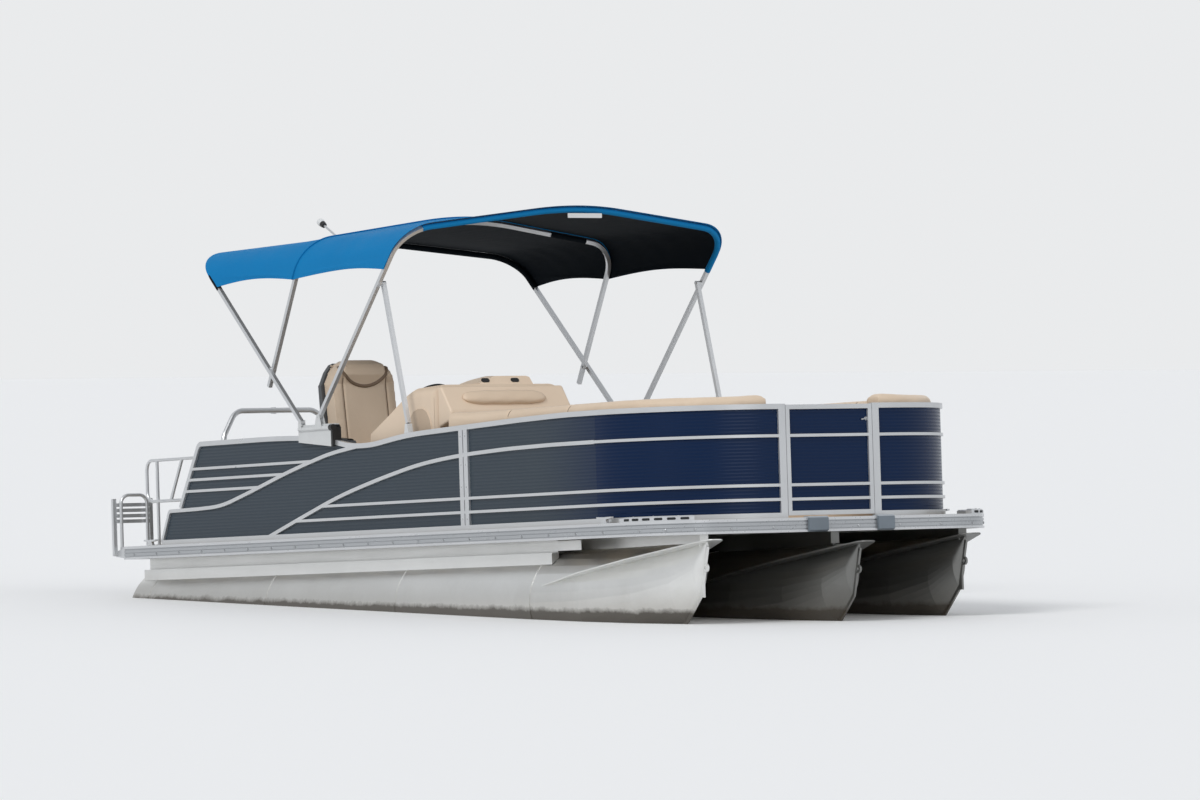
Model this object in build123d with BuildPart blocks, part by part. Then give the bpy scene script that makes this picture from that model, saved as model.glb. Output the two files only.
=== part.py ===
from build123d import *
import os
from math import atan2, cos, hypot, radians, sin, tan

os.makedirs("parts", exist_ok=True)

# Frame: millimetres, +X to the bow, +Y to port, +Z up.
# The origin is on the waterline, amidships, under the middle of the deck.
SIDES = (("starboard", -1), ("port", 1))
SEAT_GAP = 0.3

# Deck
DECK_BOW = 3300
DECK_STERN = -3290
HALF_BEAM = 1295
DECK_TOP = 490
BOW_CORNER = 380
STERN_CORNER = 30
FLOOR_THICK = 22
RAIL_HEIGHT = 88
RAIL_DEPTH = 34
DECK_MIDDLE = (DECK_BOW + DECK_STERN) / 2
DECK_LENGTH = DECK_BOW - DECK_STERN
RAIL_BOTTOM = DECK_TOP - RAIL_HEIGHT
FLOOR_UNDER = DECK_TOP - FLOOR_THICK

# Fence round the deck: bars stand half outside and half inside a thin sheet
FENCE_Y = 1210
FENCE_FRONT = 3230
FENCE_CORNER = 740
BAR = 32
STRIPE = 18
SHEET = 3
FENCE_FOOT = DECK_TOP + BAR / 2
FENCE_OUT = FENCE_Y + BAR / 2
FENCE_IN = FENCE_Y - BAR / 2
CORNER_X = FENCE_FRONT - FENCE_CORNER
CORNER_Y = FENCE_Y - FENCE_CORNER

# Buoyancy tubes
TUBE_R = 317.5
TUBE_Y = 961
TUBE_Z = 22.5
TUBE_STERN = -3240
CENTRE_AHEAD = 226
CENTRE_DROP = 33
TUBES = (
    ("tube_starboard", -TUBE_Y, 0, 0),
    ("tube_center", 0, CENTRE_AHEAD, CENTRE_DROP),
    ("tube_port", TUBE_Y, 0, 0),
)

# Folding canopy, in side view: (X, Z) of each arch's foot and of its crown
ARCH_HALF = 1244
MID_NARROWER = 34
STRUT_NARROWER = 36
ARCH_TUBE = 26
PIN_R = 5
PIN_PLAY = 0.3
REAR_BASE = (-946, 1242)
REAR_HEAD = (-2330, 2500)
MID_PIVOT = (-1343, 1603)
MID_HEAD = (-830, 2545)
MAIN_BASE = (-715, 1270)
FRONT_HEAD = (491, 2542)
STRUT_HEAD = (65, 2092)
STRUT_FOOT = (318, 1189)


def easy_radii(points, largest=10000):
    """Radius for each inner corner of a line, as large as the runs beside it allow."""
    radii = []
    for before, here, after in zip(points, points[1:], points[2:]):
        run_in = Vector(here) - Vector(before)
        run_out = Vector(after) - Vector(here)
        turn = radians(run_in.get_angle(run_out))
        easy = 0.45 * min(run_in.length, run_out.length) / tan(turn / 2)
        radii.append(min(easy, largest))
    return radii


# Deck floor
with BuildPart() as deck_floor:
    with BuildSketch(Plane.XY.offset(FLOOR_UNDER)) as floor_plan:
        with Locations((DECK_MIDDLE, 0)):
            Rectangle(DECK_LENGTH - 2 * RAIL_DEPTH, 2 * (HALF_BEAM - RAIL_DEPTH))
        fillet(floor_plan.vertices().group_by(Axis.X)[-1], BOW_CORNER - RAIL_DEPTH)
        fillet(floor_plan.vertices().group_by(Axis.X)[0], STERN_CORNER)
    extrude(amount=FLOOR_THICK)
deck_floor.part.label = "deck_floor"
export_step(deck_floor.part, "parts/deck_floor.step")

# Deck rail: a ribbed extrusion round the edge, bent round the bow corners
# Columns: bottom and top above the rail's foot, setback of the face
RAIL_BANDS = (
    (0, 14, 0),
    (14, 22, 9),
    (22, 40, 2),
    (40, 45, 9),
    (45, 62, 2),
    (62, 69, 9),
    (69, 88, 0),
)
with BuildPart() as deck_rail:
    for low, high, setback in RAIL_BANDS:
        with BuildSketch(Plane.XY.offset(RAIL_BOTTOM + low)) as band:
            with Locations((DECK_MIDDLE, 0)):
                Rectangle(DECK_LENGTH - 2 * setback, 2 * (HALF_BEAM - setback))
            fillet(band.vertices().group_by(Axis.X)[-1], BOW_CORNER - setback)
            fillet(band.vertices().group_by(Axis.X)[0], STERN_CORNER)
        extrude(amount=high - low)
    with BuildSketch(Plane.XY.offset(RAIL_BOTTOM)) as core:
        with Locations((DECK_MIDDLE, 0)):
            Rectangle(DECK_LENGTH - 2 * RAIL_DEPTH, 2 * (HALF_BEAM - RAIL_DEPTH))
        fillet(core.vertices().group_by(Axis.X)[-1], BOW_CORNER - RAIL_DEPTH)
        fillet(core.vertices().group_by(Axis.X)[0], STERN_CORNER)
    extrude(amount=RAIL_HEIGHT, mode=Mode.SUBTRACT)
deck_rail.part.label = "deck_rail"
export_step(deck_rail.part, "parts/deck_rail.step")

# Cross members: channels under the floor, from rail to rail
CROSS_COUNT = 16
CROSS_PITCH = 400
CROSS_FIRST = -3060
CROSS_HEIGHT = 62
CROSS_WIDTH = 44
CROSS_WALL = 5
CROSS_HALF = HALF_BEAM - RAIL_DEPTH
CROSS_FOOT = FLOOR_UNDER - CROSS_HEIGHT
with BuildPart() as cross_members:
    for index in range(CROSS_COUNT):
        x = CROSS_FIRST + index * CROSS_PITCH
        # the foremost one is shorter, to clear the bow corners
        half = CROSS_HALF if x < DECK_BOW - BOW_CORNER else CROSS_HALF - 70
        with BuildSketch(Plane.XZ.offset(-half)):
            with Locations((x, CROSS_FOOT + CROSS_HEIGHT / 2)):
                Rectangle(CROSS_WIDTH, CROSS_HEIGHT)
            with Locations((x + CROSS_WALL, CROSS_FOOT + CROSS_HEIGHT / 2)):
                Rectangle(CROSS_WIDTH, CROSS_HEIGHT - 2 * CROSS_WALL, mode=Mode.SUBTRACT)
        extrude(amount=2 * half)
cross_members.part.label = "cross_members"
export_step(cross_members.part, "parts/cross_members.step")

# Buoyancy tubes: cylinder, nosecone, keel strip, spray plate and nose bracket
NOSE_FACETS = 16
# Columns: X, top Z, bottom Z, half width, Z of the widest point
NOSE = (
    (1790, 339.5, -294.5, 317, 22.5),
    (2300, 342, -288, 290, 38),
    (2750, 349, -232, 206, 80),
    (3050, 355, -124, 118, 132),
    (3220, 359, 40, 50, 205),
    (3298, 362, 330, 8, 346),
)
KEEL_OUTSIDE = ((-3000, -308), (1800, -308), (2305, -301), (2758, -245), (3062, -134), (3234, 34), (3312, 326))
KEEL_INSIDE = ((3290, 326), (3206, 46), (3040, -110), (2745, -215), (2300, -270), (1700, -280), (-3000, -280))
KEEL_THICK = 14
EYE_AT = (3280, 200)
EYE_R = 26
EYE_HOLE_R = 11
PLATE_START = (1880, 118)
PLATE_TIP = (3400, 366)
PLATE_THICK = 7
PLATE_TIP_R = 55
# Columns: distance along the plate, half width
PLATE_PLAN = ((0, 292), (470, 322), (900, 256), (1240, 160), (1440, 92), (1530, 62))
NOSE_BRACKET_HALF = 30
NOSE_BRACKET_FRONT = 3270
NOSE_WEB_START = 1910
plate_slope = atan2(PLATE_TIP[1] - PLATE_START[1], PLATE_TIP[0] - PLATE_START[0])
for name, y, ahead, drop in TUBES:
    with BuildPart() as tube:
        with BuildSketch(Plane.YZ.offset(TUBE_STERN)):
            with Locations((y, TUBE_Z - drop)):
                Circle(TUBE_R)
        extrude(amount=NOSE[0][0] + ahead - TUBE_STERN)
        for x, top, bottom, half, middle in NOSE:
            with BuildSketch(Plane.YZ.offset(x + ahead)):
                with BuildLine():
                    low, high = (y, bottom - drop), (y, top - drop)
                    sides = (
                        ThreePointArc(low, (y + half, middle - drop), high, mode=Mode.PRIVATE),
                        ThreePointArc(high, (y - half, middle - drop), low, mode=Mode.PRIVATE),
                    )
                    steps = [step / NOSE_FACETS for step in range(NOSE_FACETS)]
                    Polyline(*[side @ step for side in sides for step in steps], close=True)
                make_face()
        loft(ruled=True)
        keel = [(x + (ahead if x > 0 else 0), z - drop) for x, z in KEEL_OUTSIDE + KEEL_INSIDE]
        with BuildSketch(Plane.XZ.offset(-y - KEEL_THICK / 2)):
            with BuildLine():
                Polyline(*keel, close=True)
            make_face()
            with Locations((EYE_AT[0] + ahead, EYE_AT[1] - drop)):
                Circle(EYE_R)
        extrude(amount=KEEL_THICK)
        with BuildSketch(Plane.XZ.offset(-y - KEEL_THICK / 2)):
            with Locations((EYE_AT[0] + ahead, EYE_AT[1] - drop)):
                Circle(EYE_HOLE_R)
        extrude(amount=KEEL_THICK, mode=Mode.SUBTRACT)
        plate_plane = Plane(
            origin=(PLATE_START[0] + ahead, y, PLATE_START[1] - drop),
            x_dir=(cos(plate_slope), 0, sin(plate_slope)),
            z_dir=(-sin(plate_slope), 0, cos(plate_slope)),
        )
        with BuildSketch(plate_plane) as plate:
            with BuildLine():
                Polyline(
                    *[(s, w) for s, w in PLATE_PLAN],
                    *[(s, -w) for s, w in reversed(PLATE_PLAN)],
                    close=True,
                )
            make_face()
            fillet(plate.vertices().group_by(Axis.X)[-1], PLATE_TIP_R)
        extrude(amount=PLATE_THICK)
        # the web and upright that tie the nose to the deck above it
        web_top = CROSS_FOOT - SEAT_GAP
        with BuildSketch(Plane.YZ.offset(NOSE_WEB_START)):
            with Locations((y, (web_top + TUBE_Z - drop) / 2)):
                Rectangle(KEEL_THICK, web_top - TUBE_Z + drop)
        extrude(amount=NOSE_BRACKET_FRONT - KEEL_THICK - NOSE_WEB_START)
        upright_top = RAIL_BOTTOM - SEAT_GAP
        upright_foot = NOSE[-1][1] - CENTRE_DROP
        with BuildSketch(Plane.YZ.offset(NOSE_BRACKET_FRONT - KEEL_THICK)):
            with Locations((y, (upright_top + upright_foot) / 2)):
                Rectangle(2 * NOSE_BRACKET_HALF, upright_top - upright_foot)
        extrude(amount=KEEL_THICK)
        # closed stern end, dished by a step
        with BuildSketch(Plane.YZ.offset(TUBE_STERN)):
            with Locations((y, TUBE_Z - drop)):
                Circle(TUBE_R - 12)
        extrude(amount=18, mode=Mode.SUBTRACT)
    tube.part.label = name
    export_step(tube.part, f"parts/{name}.step")

# Tube risers: folded brackets that stand on the tubes' shoulders and carry the cross members
RISER_OUT = 170
RISER_WALL = 6
RISER_START = -3200
RISER_END = 1906
RISER_FLANGE = 46
RISER_FLANGE_Z = 328
RISER_TOP = CROSS_FOOT - SEAT_GAP
RISER_FOOT = 222
with BuildPart() as tube_risers:
    for name, y, ahead, drop in TUBES:
        with BuildSketch(Plane.YZ.offset(RISER_START)):
            with Locations((y, CROSS_FOOT - SEAT_GAP - RISER_WALL / 2)):
                Rectangle(2 * RISER_OUT, RISER_WALL)
            for side, sign in SIDES:
                with Locations((y + sign * (RISER_OUT - RISER_WALL / 2), (RISER_TOP + RISER_FOOT) / 2)):
                    Rectangle(RISER_WALL, RISER_TOP - RISER_FOOT)
                with Locations((y + sign * (RISER_OUT + RISER_FLANGE / 2), (RISER_FLANGE_Z + RISER_FOOT) / 2)):
                    Rectangle(RISER_FLANGE, RISER_FLANGE_Z - RISER_FOOT)
        extrude(amount=RISER_END - RISER_START)
        with BuildSketch(Plane.YZ.offset(RISER_START)):
            with Locations((y, TUBE_Z - drop)):
                Circle(TUBE_R + SEAT_GAP)
        extrude(amount=RISER_END - RISER_START, mode=Mode.SUBTRACT)
tube_risers.part.label = "tube_risers"
export_step(tube_risers.part, "parts/tube_risers.step")

# Transom pod: welded box behind the centre tube that carries the outboard
POD_HALF = 260
POD_TOP = 396
TRANSOM_TOP = 380
TRANSOM_X = -3540
POD_SIDE = (
    (TUBE_STERN - SEAT_GAP, POD_TOP), (-3490, POD_TOP), (-3490, TRANSOM_TOP), (TRANSOM_X, TRANSOM_TOP),
    (TRANSOM_X, -90), (TUBE_STERN - SEAT_GAP, -300),
)
with BuildPart() as transom_pod:
    with BuildSketch(Plane.XZ.offset(-POD_HALF)) as pod_side:
        with BuildLine():
            Polyline(*POD_SIDE, close=True)
        make_face()
        fillet(pod_side.vertices().sort_by(Axis.Y)[0:2], 40)
    extrude(amount=2 * POD_HALF)
    chamfer(transom_pod.edges().filter_by(Axis.Z).group_by(Axis.X)[0], 25)
transom_pod.part.label = "transom_pod"
export_step(transom_pod.part, "parts/transom_pod.step")

# Side fences: the bars' centre lines in side view, from the stern forward
UPPER_BAR = (
    (-2606, 732), (-2334, 1150), (-1402, 1151), (-979, 1142), (-620, 1108), (-380, 1067), (-120, 1064),
    (314, 1113), (1010, 1136), (1655, 1157), (2150, 1168), (CORNER_X, 1168),
)
LOWER_BAR = (
    (-2868, FENCE_FOOT), (-2755, 714), (-2380, 718), (-2056, 728), (-1683, 808), (-1158, 930), (-644, 1028),
    (-300, 1062),
)
FORE_SWEEP = (
    (-1460, FENCE_FOOT), (-1049, 616), (-535, 750), (-33, 844), (459, 923), (952, 963), (1500, 983), (2000, 990),
    (CORNER_X, 990),
)
TOP_BAR_Z = UPPER_BAR[-1][1]
REAR_BEND = 60
# Columns: start X, end X, centre Z
STRIPES = (
    (-2438, -870, 986),
    (-2485, -1225, 914),
    (-2534, -1545, 839),
    (-770, CORNER_X, 690),
    (-1090, CORNER_X, 603),
)
BOW_STRIPES = (990, 690, 603)
SWEEP_WIDTH = 24
POSTS_INSIDE = (-2200, -1500, -760, 60, 1700, 2430)
JOINT_POSTS = (962, 1016)
JOINT_POST_WIDTH = 46
GATE_POST_Y = 348
GATE_POST = 50


def bar_height(x):
    """Centre height of the top bar at a place along the side."""
    for (x0, z0), (x1, z1) in zip(UPPER_BAR[1:], UPPER_BAR[2:]):
        if x0 <= x <= x1:
            return z0 + (z1 - z0) * (x - x0) / (x1 - x0)
    return TOP_BAR_Z


for side, sign in SIDES:
    with BuildPart() as fence_frame:
        # outer halves of all the bars
        with BuildSketch(Plane.XZ.offset(-sign * (FENCE_Y + SHEET / 2))):
            with BuildLine():
                FilletPolyline(UPPER_BAR, radius=[REAR_BEND] + easy_radii(UPPER_BAR)[1:])
            trace(line_width=BAR)
            with BuildLine():
                FilletPolyline(LOWER_BAR, radius=[35] + easy_radii(LOWER_BAR)[1:])
            trace(line_width=SWEEP_WIDTH)
            with BuildLine():
                FilletPolyline(FORE_SWEEP, radius=easy_radii(FORE_SWEEP))
            trace(line_width=SWEEP_WIDTH)
            for start, end, z in STRIPES:
                with Locations(((start + end) / 2, z)):
                    Rectangle(end - start, STRIPE)
            for x in JOINT_POSTS:
                head = bar_height(x)
                with Locations((x, (FENCE_FOOT + head) / 2)):
                    Rectangle(JOINT_POST_WIDTH, head - FENCE_FOOT)
            with Locations(((LOWER_BAR[0][0] + CORNER_X) / 2, FENCE_FOOT)):
                Rectangle(CORNER_X - LOWER_BAR[0][0], BAR)
        extrude(amount=-sign * (BAR - SHEET) / 2)
        # the top bar and the rear bars go right through
        with BuildSketch(Plane.XZ.offset(-sign * FENCE_IN)) as through_bars:
            with BuildLine():
                FilletPolyline(UPPER_BAR, radius=[REAR_BEND] + easy_radii(UPPER_BAR)[1:])
            trace(line_width=BAR)
            with BuildLine():
                FilletPolyline(*LOWER_BAR[:3], radius=35)
            trace(line_width=SWEEP_WIDTH)
            with Locations(((LOWER_BAR[0][0] + CORNER_X) / 2, FENCE_FOOT)):
                Rectangle(CORNER_X - LOWER_BAR[0][0], BAR)
        extrude(amount=-sign * (BAR + SHEET) / 2)
        # posts behind the sheet
        with BuildSketch(Plane.XZ.offset(-sign * FENCE_IN)):
            for x in POSTS_INSIDE + JOINT_POSTS:
                head = bar_height(x)
                with Locations((x, (FENCE_FOOT + head) / 2)):
                    Rectangle(BAR, head - FENCE_FOOT)
        extrude(amount=-sign * (BAR - SHEET) / 2)
        # bars bent round the bow corner
        for z in (TOP_BAR_Z, FENCE_FOOT) + BOW_STRIPES:
            through = z in (TOP_BAR_Z, FENCE_FOOT)
            tall = BAR if through else STRIPE
            inner = FENCE_CORNER - BAR / 2 if through else FENCE_CORNER + SHEET / 2
            outer = FENCE_CORNER + BAR / 2
            with BuildSketch(Plane.XY.offset(z - tall / 2)):
                with BuildLine():
                    inside = JernArc((CORNER_X, sign * (CORNER_Y + inner)), (1, 0), inner, -sign * 90)
                    front_in = Line(inside @ 1, (CORNER_X + inner, sign * GATE_POST_Y))
                    end = Line(front_in @ 1, (CORNER_X + outer, sign * GATE_POST_Y))
                    front_out = Line(end @ 1, (CORNER_X + outer, sign * CORNER_Y))
                    outside = JernArc(front_out @ 1, (0, sign), outer, sign * 90)
                    Line(outside @ 1, inside @ 0)
                make_face()
            extrude(amount=tall)
        # gate post
        with BuildSketch(Plane.XY.offset(DECK_TOP)):
            with Locations((FENCE_FRONT, sign * GATE_POST_Y)):
                Rectangle(BAR, GATE_POST)
        extrude(amount=TOP_BAR_Z + BAR / 2 - DECK_TOP)
    fence_frame.part.label = f"fence_frame_{side}"
    export_step(fence_frame.part, f"parts/fence_frame_{side}.step")

# Fence sheets along the sides
SHEET_FOOT = DECK_TOP + BAR + SEAT_GAP
with BuildPart() as fence_skins:
    for side, sign in SIDES:
        with BuildSketch(Plane.XZ.offset(-sign * (FENCE_Y - SHEET / 2))):
            with BuildLine():
                top_edge = FilletPolyline(UPPER_BAR, radius=[REAR_BEND] + easy_radii(UPPER_BAR)[1:])
                Polyline(
                    top_edge @ 1, (CORNER_X, SHEET_FOOT), (LOWER_BAR[0][0] + 9, SHEET_FOOT), LOWER_BAR[1],
                    (-2606, 716), top_edge @ 0,
                )
            make_face()
            with BuildLine():
                FilletPolyline(UPPER_BAR, radius=[REAR_BEND] + easy_radii(UPPER_BAR)[1:])
            trace(line_width=BAR + 2 * SEAT_GAP, mode=Mode.SUBTRACT)
            with BuildLine():
                FilletPolyline(*LOWER_BAR[:3], radius=35)
            trace(line_width=SWEEP_WIDTH + 2 * SEAT_GAP, mode=Mode.SUBTRACT)
        extrude(amount=-sign * SHEET)
fence_skins.part.label = "fence_skins"
export_step(fence_skins.part, "parts/fence_skins.step")

# Fence sheets round the bow corners
with BuildPart() as bow_skins:
    for side, sign in SIDES:
        with BuildSketch(Plane.XY.offset(SHEET_FOOT)):
            with BuildLine():
                skin_in = FENCE_CORNER - SHEET / 2 + SEAT_GAP
                skin_out = FENCE_CORNER + SHEET / 2 - SEAT_GAP
                edge_y = GATE_POST_Y + GATE_POST / 2 + SEAT_GAP
                skin_end = CORNER_X + SEAT_GAP
                start = Line((skin_end, sign * (CORNER_Y + skin_out)), (skin_end, sign * (CORNER_Y + skin_in)))
                inside = JernArc(start @ 1, (1, 0), skin_in, -sign * 90)
                front_in = Line(inside @ 1, ((inside @ 1).X, sign * edge_y))
                end = Line(front_in @ 1, ((front_in @ 1).X + skin_out - skin_in, sign * edge_y))
                front_out = Line(end @ 1, ((end @ 1).X, sign * CORNER_Y))
                outside = JernArc(front_out @ 1, (0, sign), skin_out, sign * 90)
            make_face()
        extrude(amount=TOP_BAR_Z - BAR / 2 - SEAT_GAP - SHEET_FOOT)
bow_skins.part.label = "bow_skins"
export_step(bow_skins.part, "parts/bow_skins.step")

# Bow gate: framed leaf between the gate posts, hinged on the starboard post inside the rail
GATE_PLAY = 3
GATE_HALF = GATE_POST_Y - GATE_POST / 2 - GATE_PLAY
GATE_FOOT = DECK_TOP + 14
GATE_TOP = TOP_BAR_Z + BAR / 2 - 6
GATE_STILE = 28
HINGE_R = 7
HINGE_PIN_R = 3
HINGE_LEAF = 3
HINGE_PLAY = 0.5
KNUCKLE = 40
GATE_HINGES = (600, 1050)
GATE_BACK = FENCE_FRONT - BAR / 2
BOW_HINGE = (GATE_BACK - HINGE_R - HINGE_PLAY, -GATE_HALF - GATE_PLAY / 2)
with BuildPart() as bow_gate:
    with BuildSketch(Plane.YZ.offset(GATE_BACK)):
        with Locations((0, (GATE_FOOT + GATE_TOP) / 2)):
            Rectangle(2 * GATE_HALF, GATE_TOP - GATE_FOOT)
            Rectangle(
                2 * (GATE_HALF - GATE_STILE), GATE_TOP - GATE_FOOT - 2 * GATE_STILE, mode=Mode.SUBTRACT
            )
    extrude(amount=BAR)
    # outer bars in line with those of the fence
    with BuildSketch(Plane.YZ.offset(FENCE_FRONT + SHEET / 2)):
        for z in BOW_STRIPES:
            with Locations((0, z)):
                Rectangle(2 * GATE_HALF, STRIPE)
    extrude(amount=(BAR - SHEET) / 2)
    # middle knuckles of the hinges and their leaves
    for z in GATE_HINGES:
        with BuildSketch(Plane.XY.offset(z - KNUCKLE / 2)):
            with Locations(BOW_HINGE):
                Circle(HINGE_R)
            with Locations((GATE_BACK - HINGE_LEAF / 2, BOW_HINGE[1] + 18)):
                Rectangle(HINGE_LEAF, 28)
            with Locations((BOW_HINGE[0] + HINGE_R / 2, BOW_HINGE[1] + HINGE_R / 2)):
                Rectangle(HINGE_R + 2 * HINGE_PLAY, HINGE_R)
        extrude(amount=KNUCKLE)
        with BuildSketch(Plane.XY.offset(z - KNUCKLE / 2)):
            with Locations(BOW_HINGE):
                Circle(HINGE_PIN_R + PIN_PLAY)
        extrude(amount=KNUCKLE, mode=Mode.SUBTRACT)
bow_gate.part.label = "bow_gate"
export_step(bow_gate.part, "parts/bow_gate.step")

with BuildPart() as bow_gate_skin:
    with BuildSketch(Plane.YZ.offset(FENCE_FRONT - SHEET / 2 + SEAT_GAP)):
        with Locations((0, (GATE_FOOT + GATE_TOP) / 2)):
            Rectangle(
                2 * (GATE_HALF - GATE_STILE - SEAT_GAP), GATE_TOP - GATE_FOOT - 2 * GATE_STILE - 2 * SEAT_GAP
            )
    extrude(amount=SHEET - 2 * SEAT_GAP)
bow_gate_skin.part.label = "bow_gate_skin"
export_step(bow_gate_skin.part, "parts/bow_gate_skin.step")

# Stern fence: two framed panels between the side fences, with a gate at starboard
STERN_FENCE_X = -2346
STERN_IN = STERN_FENCE_X + BAR / 2
STERN_TOP = 1160
STERN_GATE = (-1130, -560)
STERN_POST = 44
STERN_STRIPES = (603, 690, 839, 914, 986)
STERN_HINGES = (620, 1020)
STERN_HINGE = (STERN_IN + HINGE_R + HINGE_PLAY, STERN_GATE[0] - GATE_PLAY / 2)
STERN_PANELS = (
    (-FENCE_IN + SEAT_GAP, STERN_GATE[0] - GATE_PLAY),
    (STERN_GATE[1] + GATE_PLAY, FENCE_IN - SEAT_GAP),
)
with BuildPart() as stern_fence_frame:
    for low, high in STERN_PANELS:
        with BuildSketch(Plane.YZ.offset(STERN_FENCE_X - BAR / 2)):
            with Locations(((low + high) / 2, (DECK_TOP + STERN_TOP) / 2)):
                Rectangle(high - low, STERN_TOP - DECK_TOP)
                if high - low > 4 * BAR:
                    Rectangle(high - low - 2 * STERN_POST, STERN_TOP - DECK_TOP - 2 * BAR, mode=Mode.SUBTRACT)
        extrude(amount=BAR)
    # outer bars of the wide panel
    low, high = STERN_PANELS[1]
    with BuildSketch(Plane.YZ.offset(STERN_FENCE_X - BAR / 2)):
        for z in STERN_STRIPES:
            with Locations(((low + high) / 2, z)):
                Rectangle(high - low, STRIPE)
    extrude(amount=(BAR - SHEET) / 2)
    # outer knuckles of the gate hinges, their pins and leaves
    for z in STERN_HINGES:
        for shift in (-1, 1):
            with BuildSketch(Plane.XY.offset(z + shift * (KNUCKLE + HINGE_PLAY) - KNUCKLE / 2)):
                with Locations(STERN_HINGE):
                    Circle(HINGE_R)
                with Locations((STERN_IN + HINGE_LEAF / 2, STERN_HINGE[1] - 12)):
                    Rectangle(HINGE_LEAF, 20)
                with Locations((STERN_HINGE[0] - HINGE_R / 2, STERN_HINGE[1] - HINGE_R / 2)):
                    Rectangle(HINGE_R + 2 * HINGE_PLAY, HINGE_R)
            extrude(amount=KNUCKLE)
        with BuildSketch(Plane.XY.offset(z - KNUCKLE)):
            with Locations(STERN_HINGE):
                Circle(HINGE_PIN_R)
        extrude(amount=2 * KNUCKLE)
stern_fence_frame.part.label = "stern_fence_frame"
export_step(stern_fence_frame.part, "parts/stern_fence_frame.step")

with BuildPart() as stern_fence_skin:
    low, high = STERN_PANELS[1]
    with BuildSketch(Plane.YZ.offset(STERN_FENCE_X - SHEET / 2)):
        with Locations(((low + high) / 2, (DECK_TOP + STERN_TOP) / 2)):
            Rectangle(
                high - low - 2 * STERN_POST - 2 * SEAT_GAP, STERN_TOP - DECK_TOP - 2 * BAR - 2 * SEAT_GAP
            )
    extrude(amount=SHEET)
stern_fence_skin.part.label = "stern_fence_skin"
export_step(stern_fence_skin.part, "parts/stern_fence_skin.step")

with BuildPart() as stern_gate:
    with BuildSketch(Plane.YZ.offset(STERN_FENCE_X - BAR / 2)):
        with Locations((sum(STERN_GATE) / 2, (GATE_FOOT + STERN_TOP) / 2)):
            Rectangle(STERN_GATE[1] - STERN_GATE[0], STERN_TOP - GATE_FOOT)
            Rectangle(
                STERN_GATE[1] - STERN_GATE[0] - 2 * GATE_STILE, STERN_TOP - GATE_FOOT - 2 * GATE_STILE,
                mode=Mode.SUBTRACT,
            )
    extrude(amount=BAR)
    with BuildSketch(Plane.YZ.offset(STERN_FENCE_X - BAR / 2)):
        for z in STERN_STRIPES:
            with Locations((sum(STERN_GATE) / 2, z)):
                Rectangle(STERN_GATE[1] - STERN_GATE[0], STRIPE)
    extrude(amount=(BAR - SHEET) / 2)
    for z in STERN_HINGES:
        with BuildSketch(Plane.XY.offset(z - KNUCKLE / 2)):
            with Locations(STERN_HINGE):
                Circle(HINGE_R)
            with Locations((STERN_IN + HINGE_LEAF / 2, STERN_HINGE[1] + 18)):
                Rectangle(HINGE_LEAF, 28)
            with Locations((STERN_HINGE[0] - HINGE_R / 2, STERN_HINGE[1] + HINGE_R / 2)):
                Rectangle(HINGE_R + 2 * HINGE_PLAY, HINGE_R)
        extrude(amount=KNUCKLE)
        with BuildSketch(Plane.XY.offset(z - KNUCKLE / 2)):
            with Locations(STERN_HINGE):
                Circle(HINGE_PIN_R + PIN_PLAY)
        extrude(amount=KNUCKLE, mode=Mode.SUBTRACT)
stern_gate.part.label = "stern_gate"
export_step(stern_gate.part, "parts/stern_gate.step")

with BuildPart() as stern_gate_skin:
    with BuildSketch(Plane.YZ.offset(STERN_FENCE_X - SHEET / 2)):
        with Locations((sum(STERN_GATE) / 2, (GATE_FOOT + STERN_TOP) / 2)):
            Rectangle(
                STERN_GATE[1] - STERN_GATE[0] - 2 * GATE_STILE - 2 * SEAT_GAP,
                STERN_TOP - GATE_FOOT - 2 * GATE_STILE - 2 * SEAT_GAP,
            )
    extrude(amount=SHEET)
stern_gate_skin.part.label = "stern_gate_skin"
export_step(stern_gate_skin.part, "parts/stern_gate_skin.step")

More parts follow.
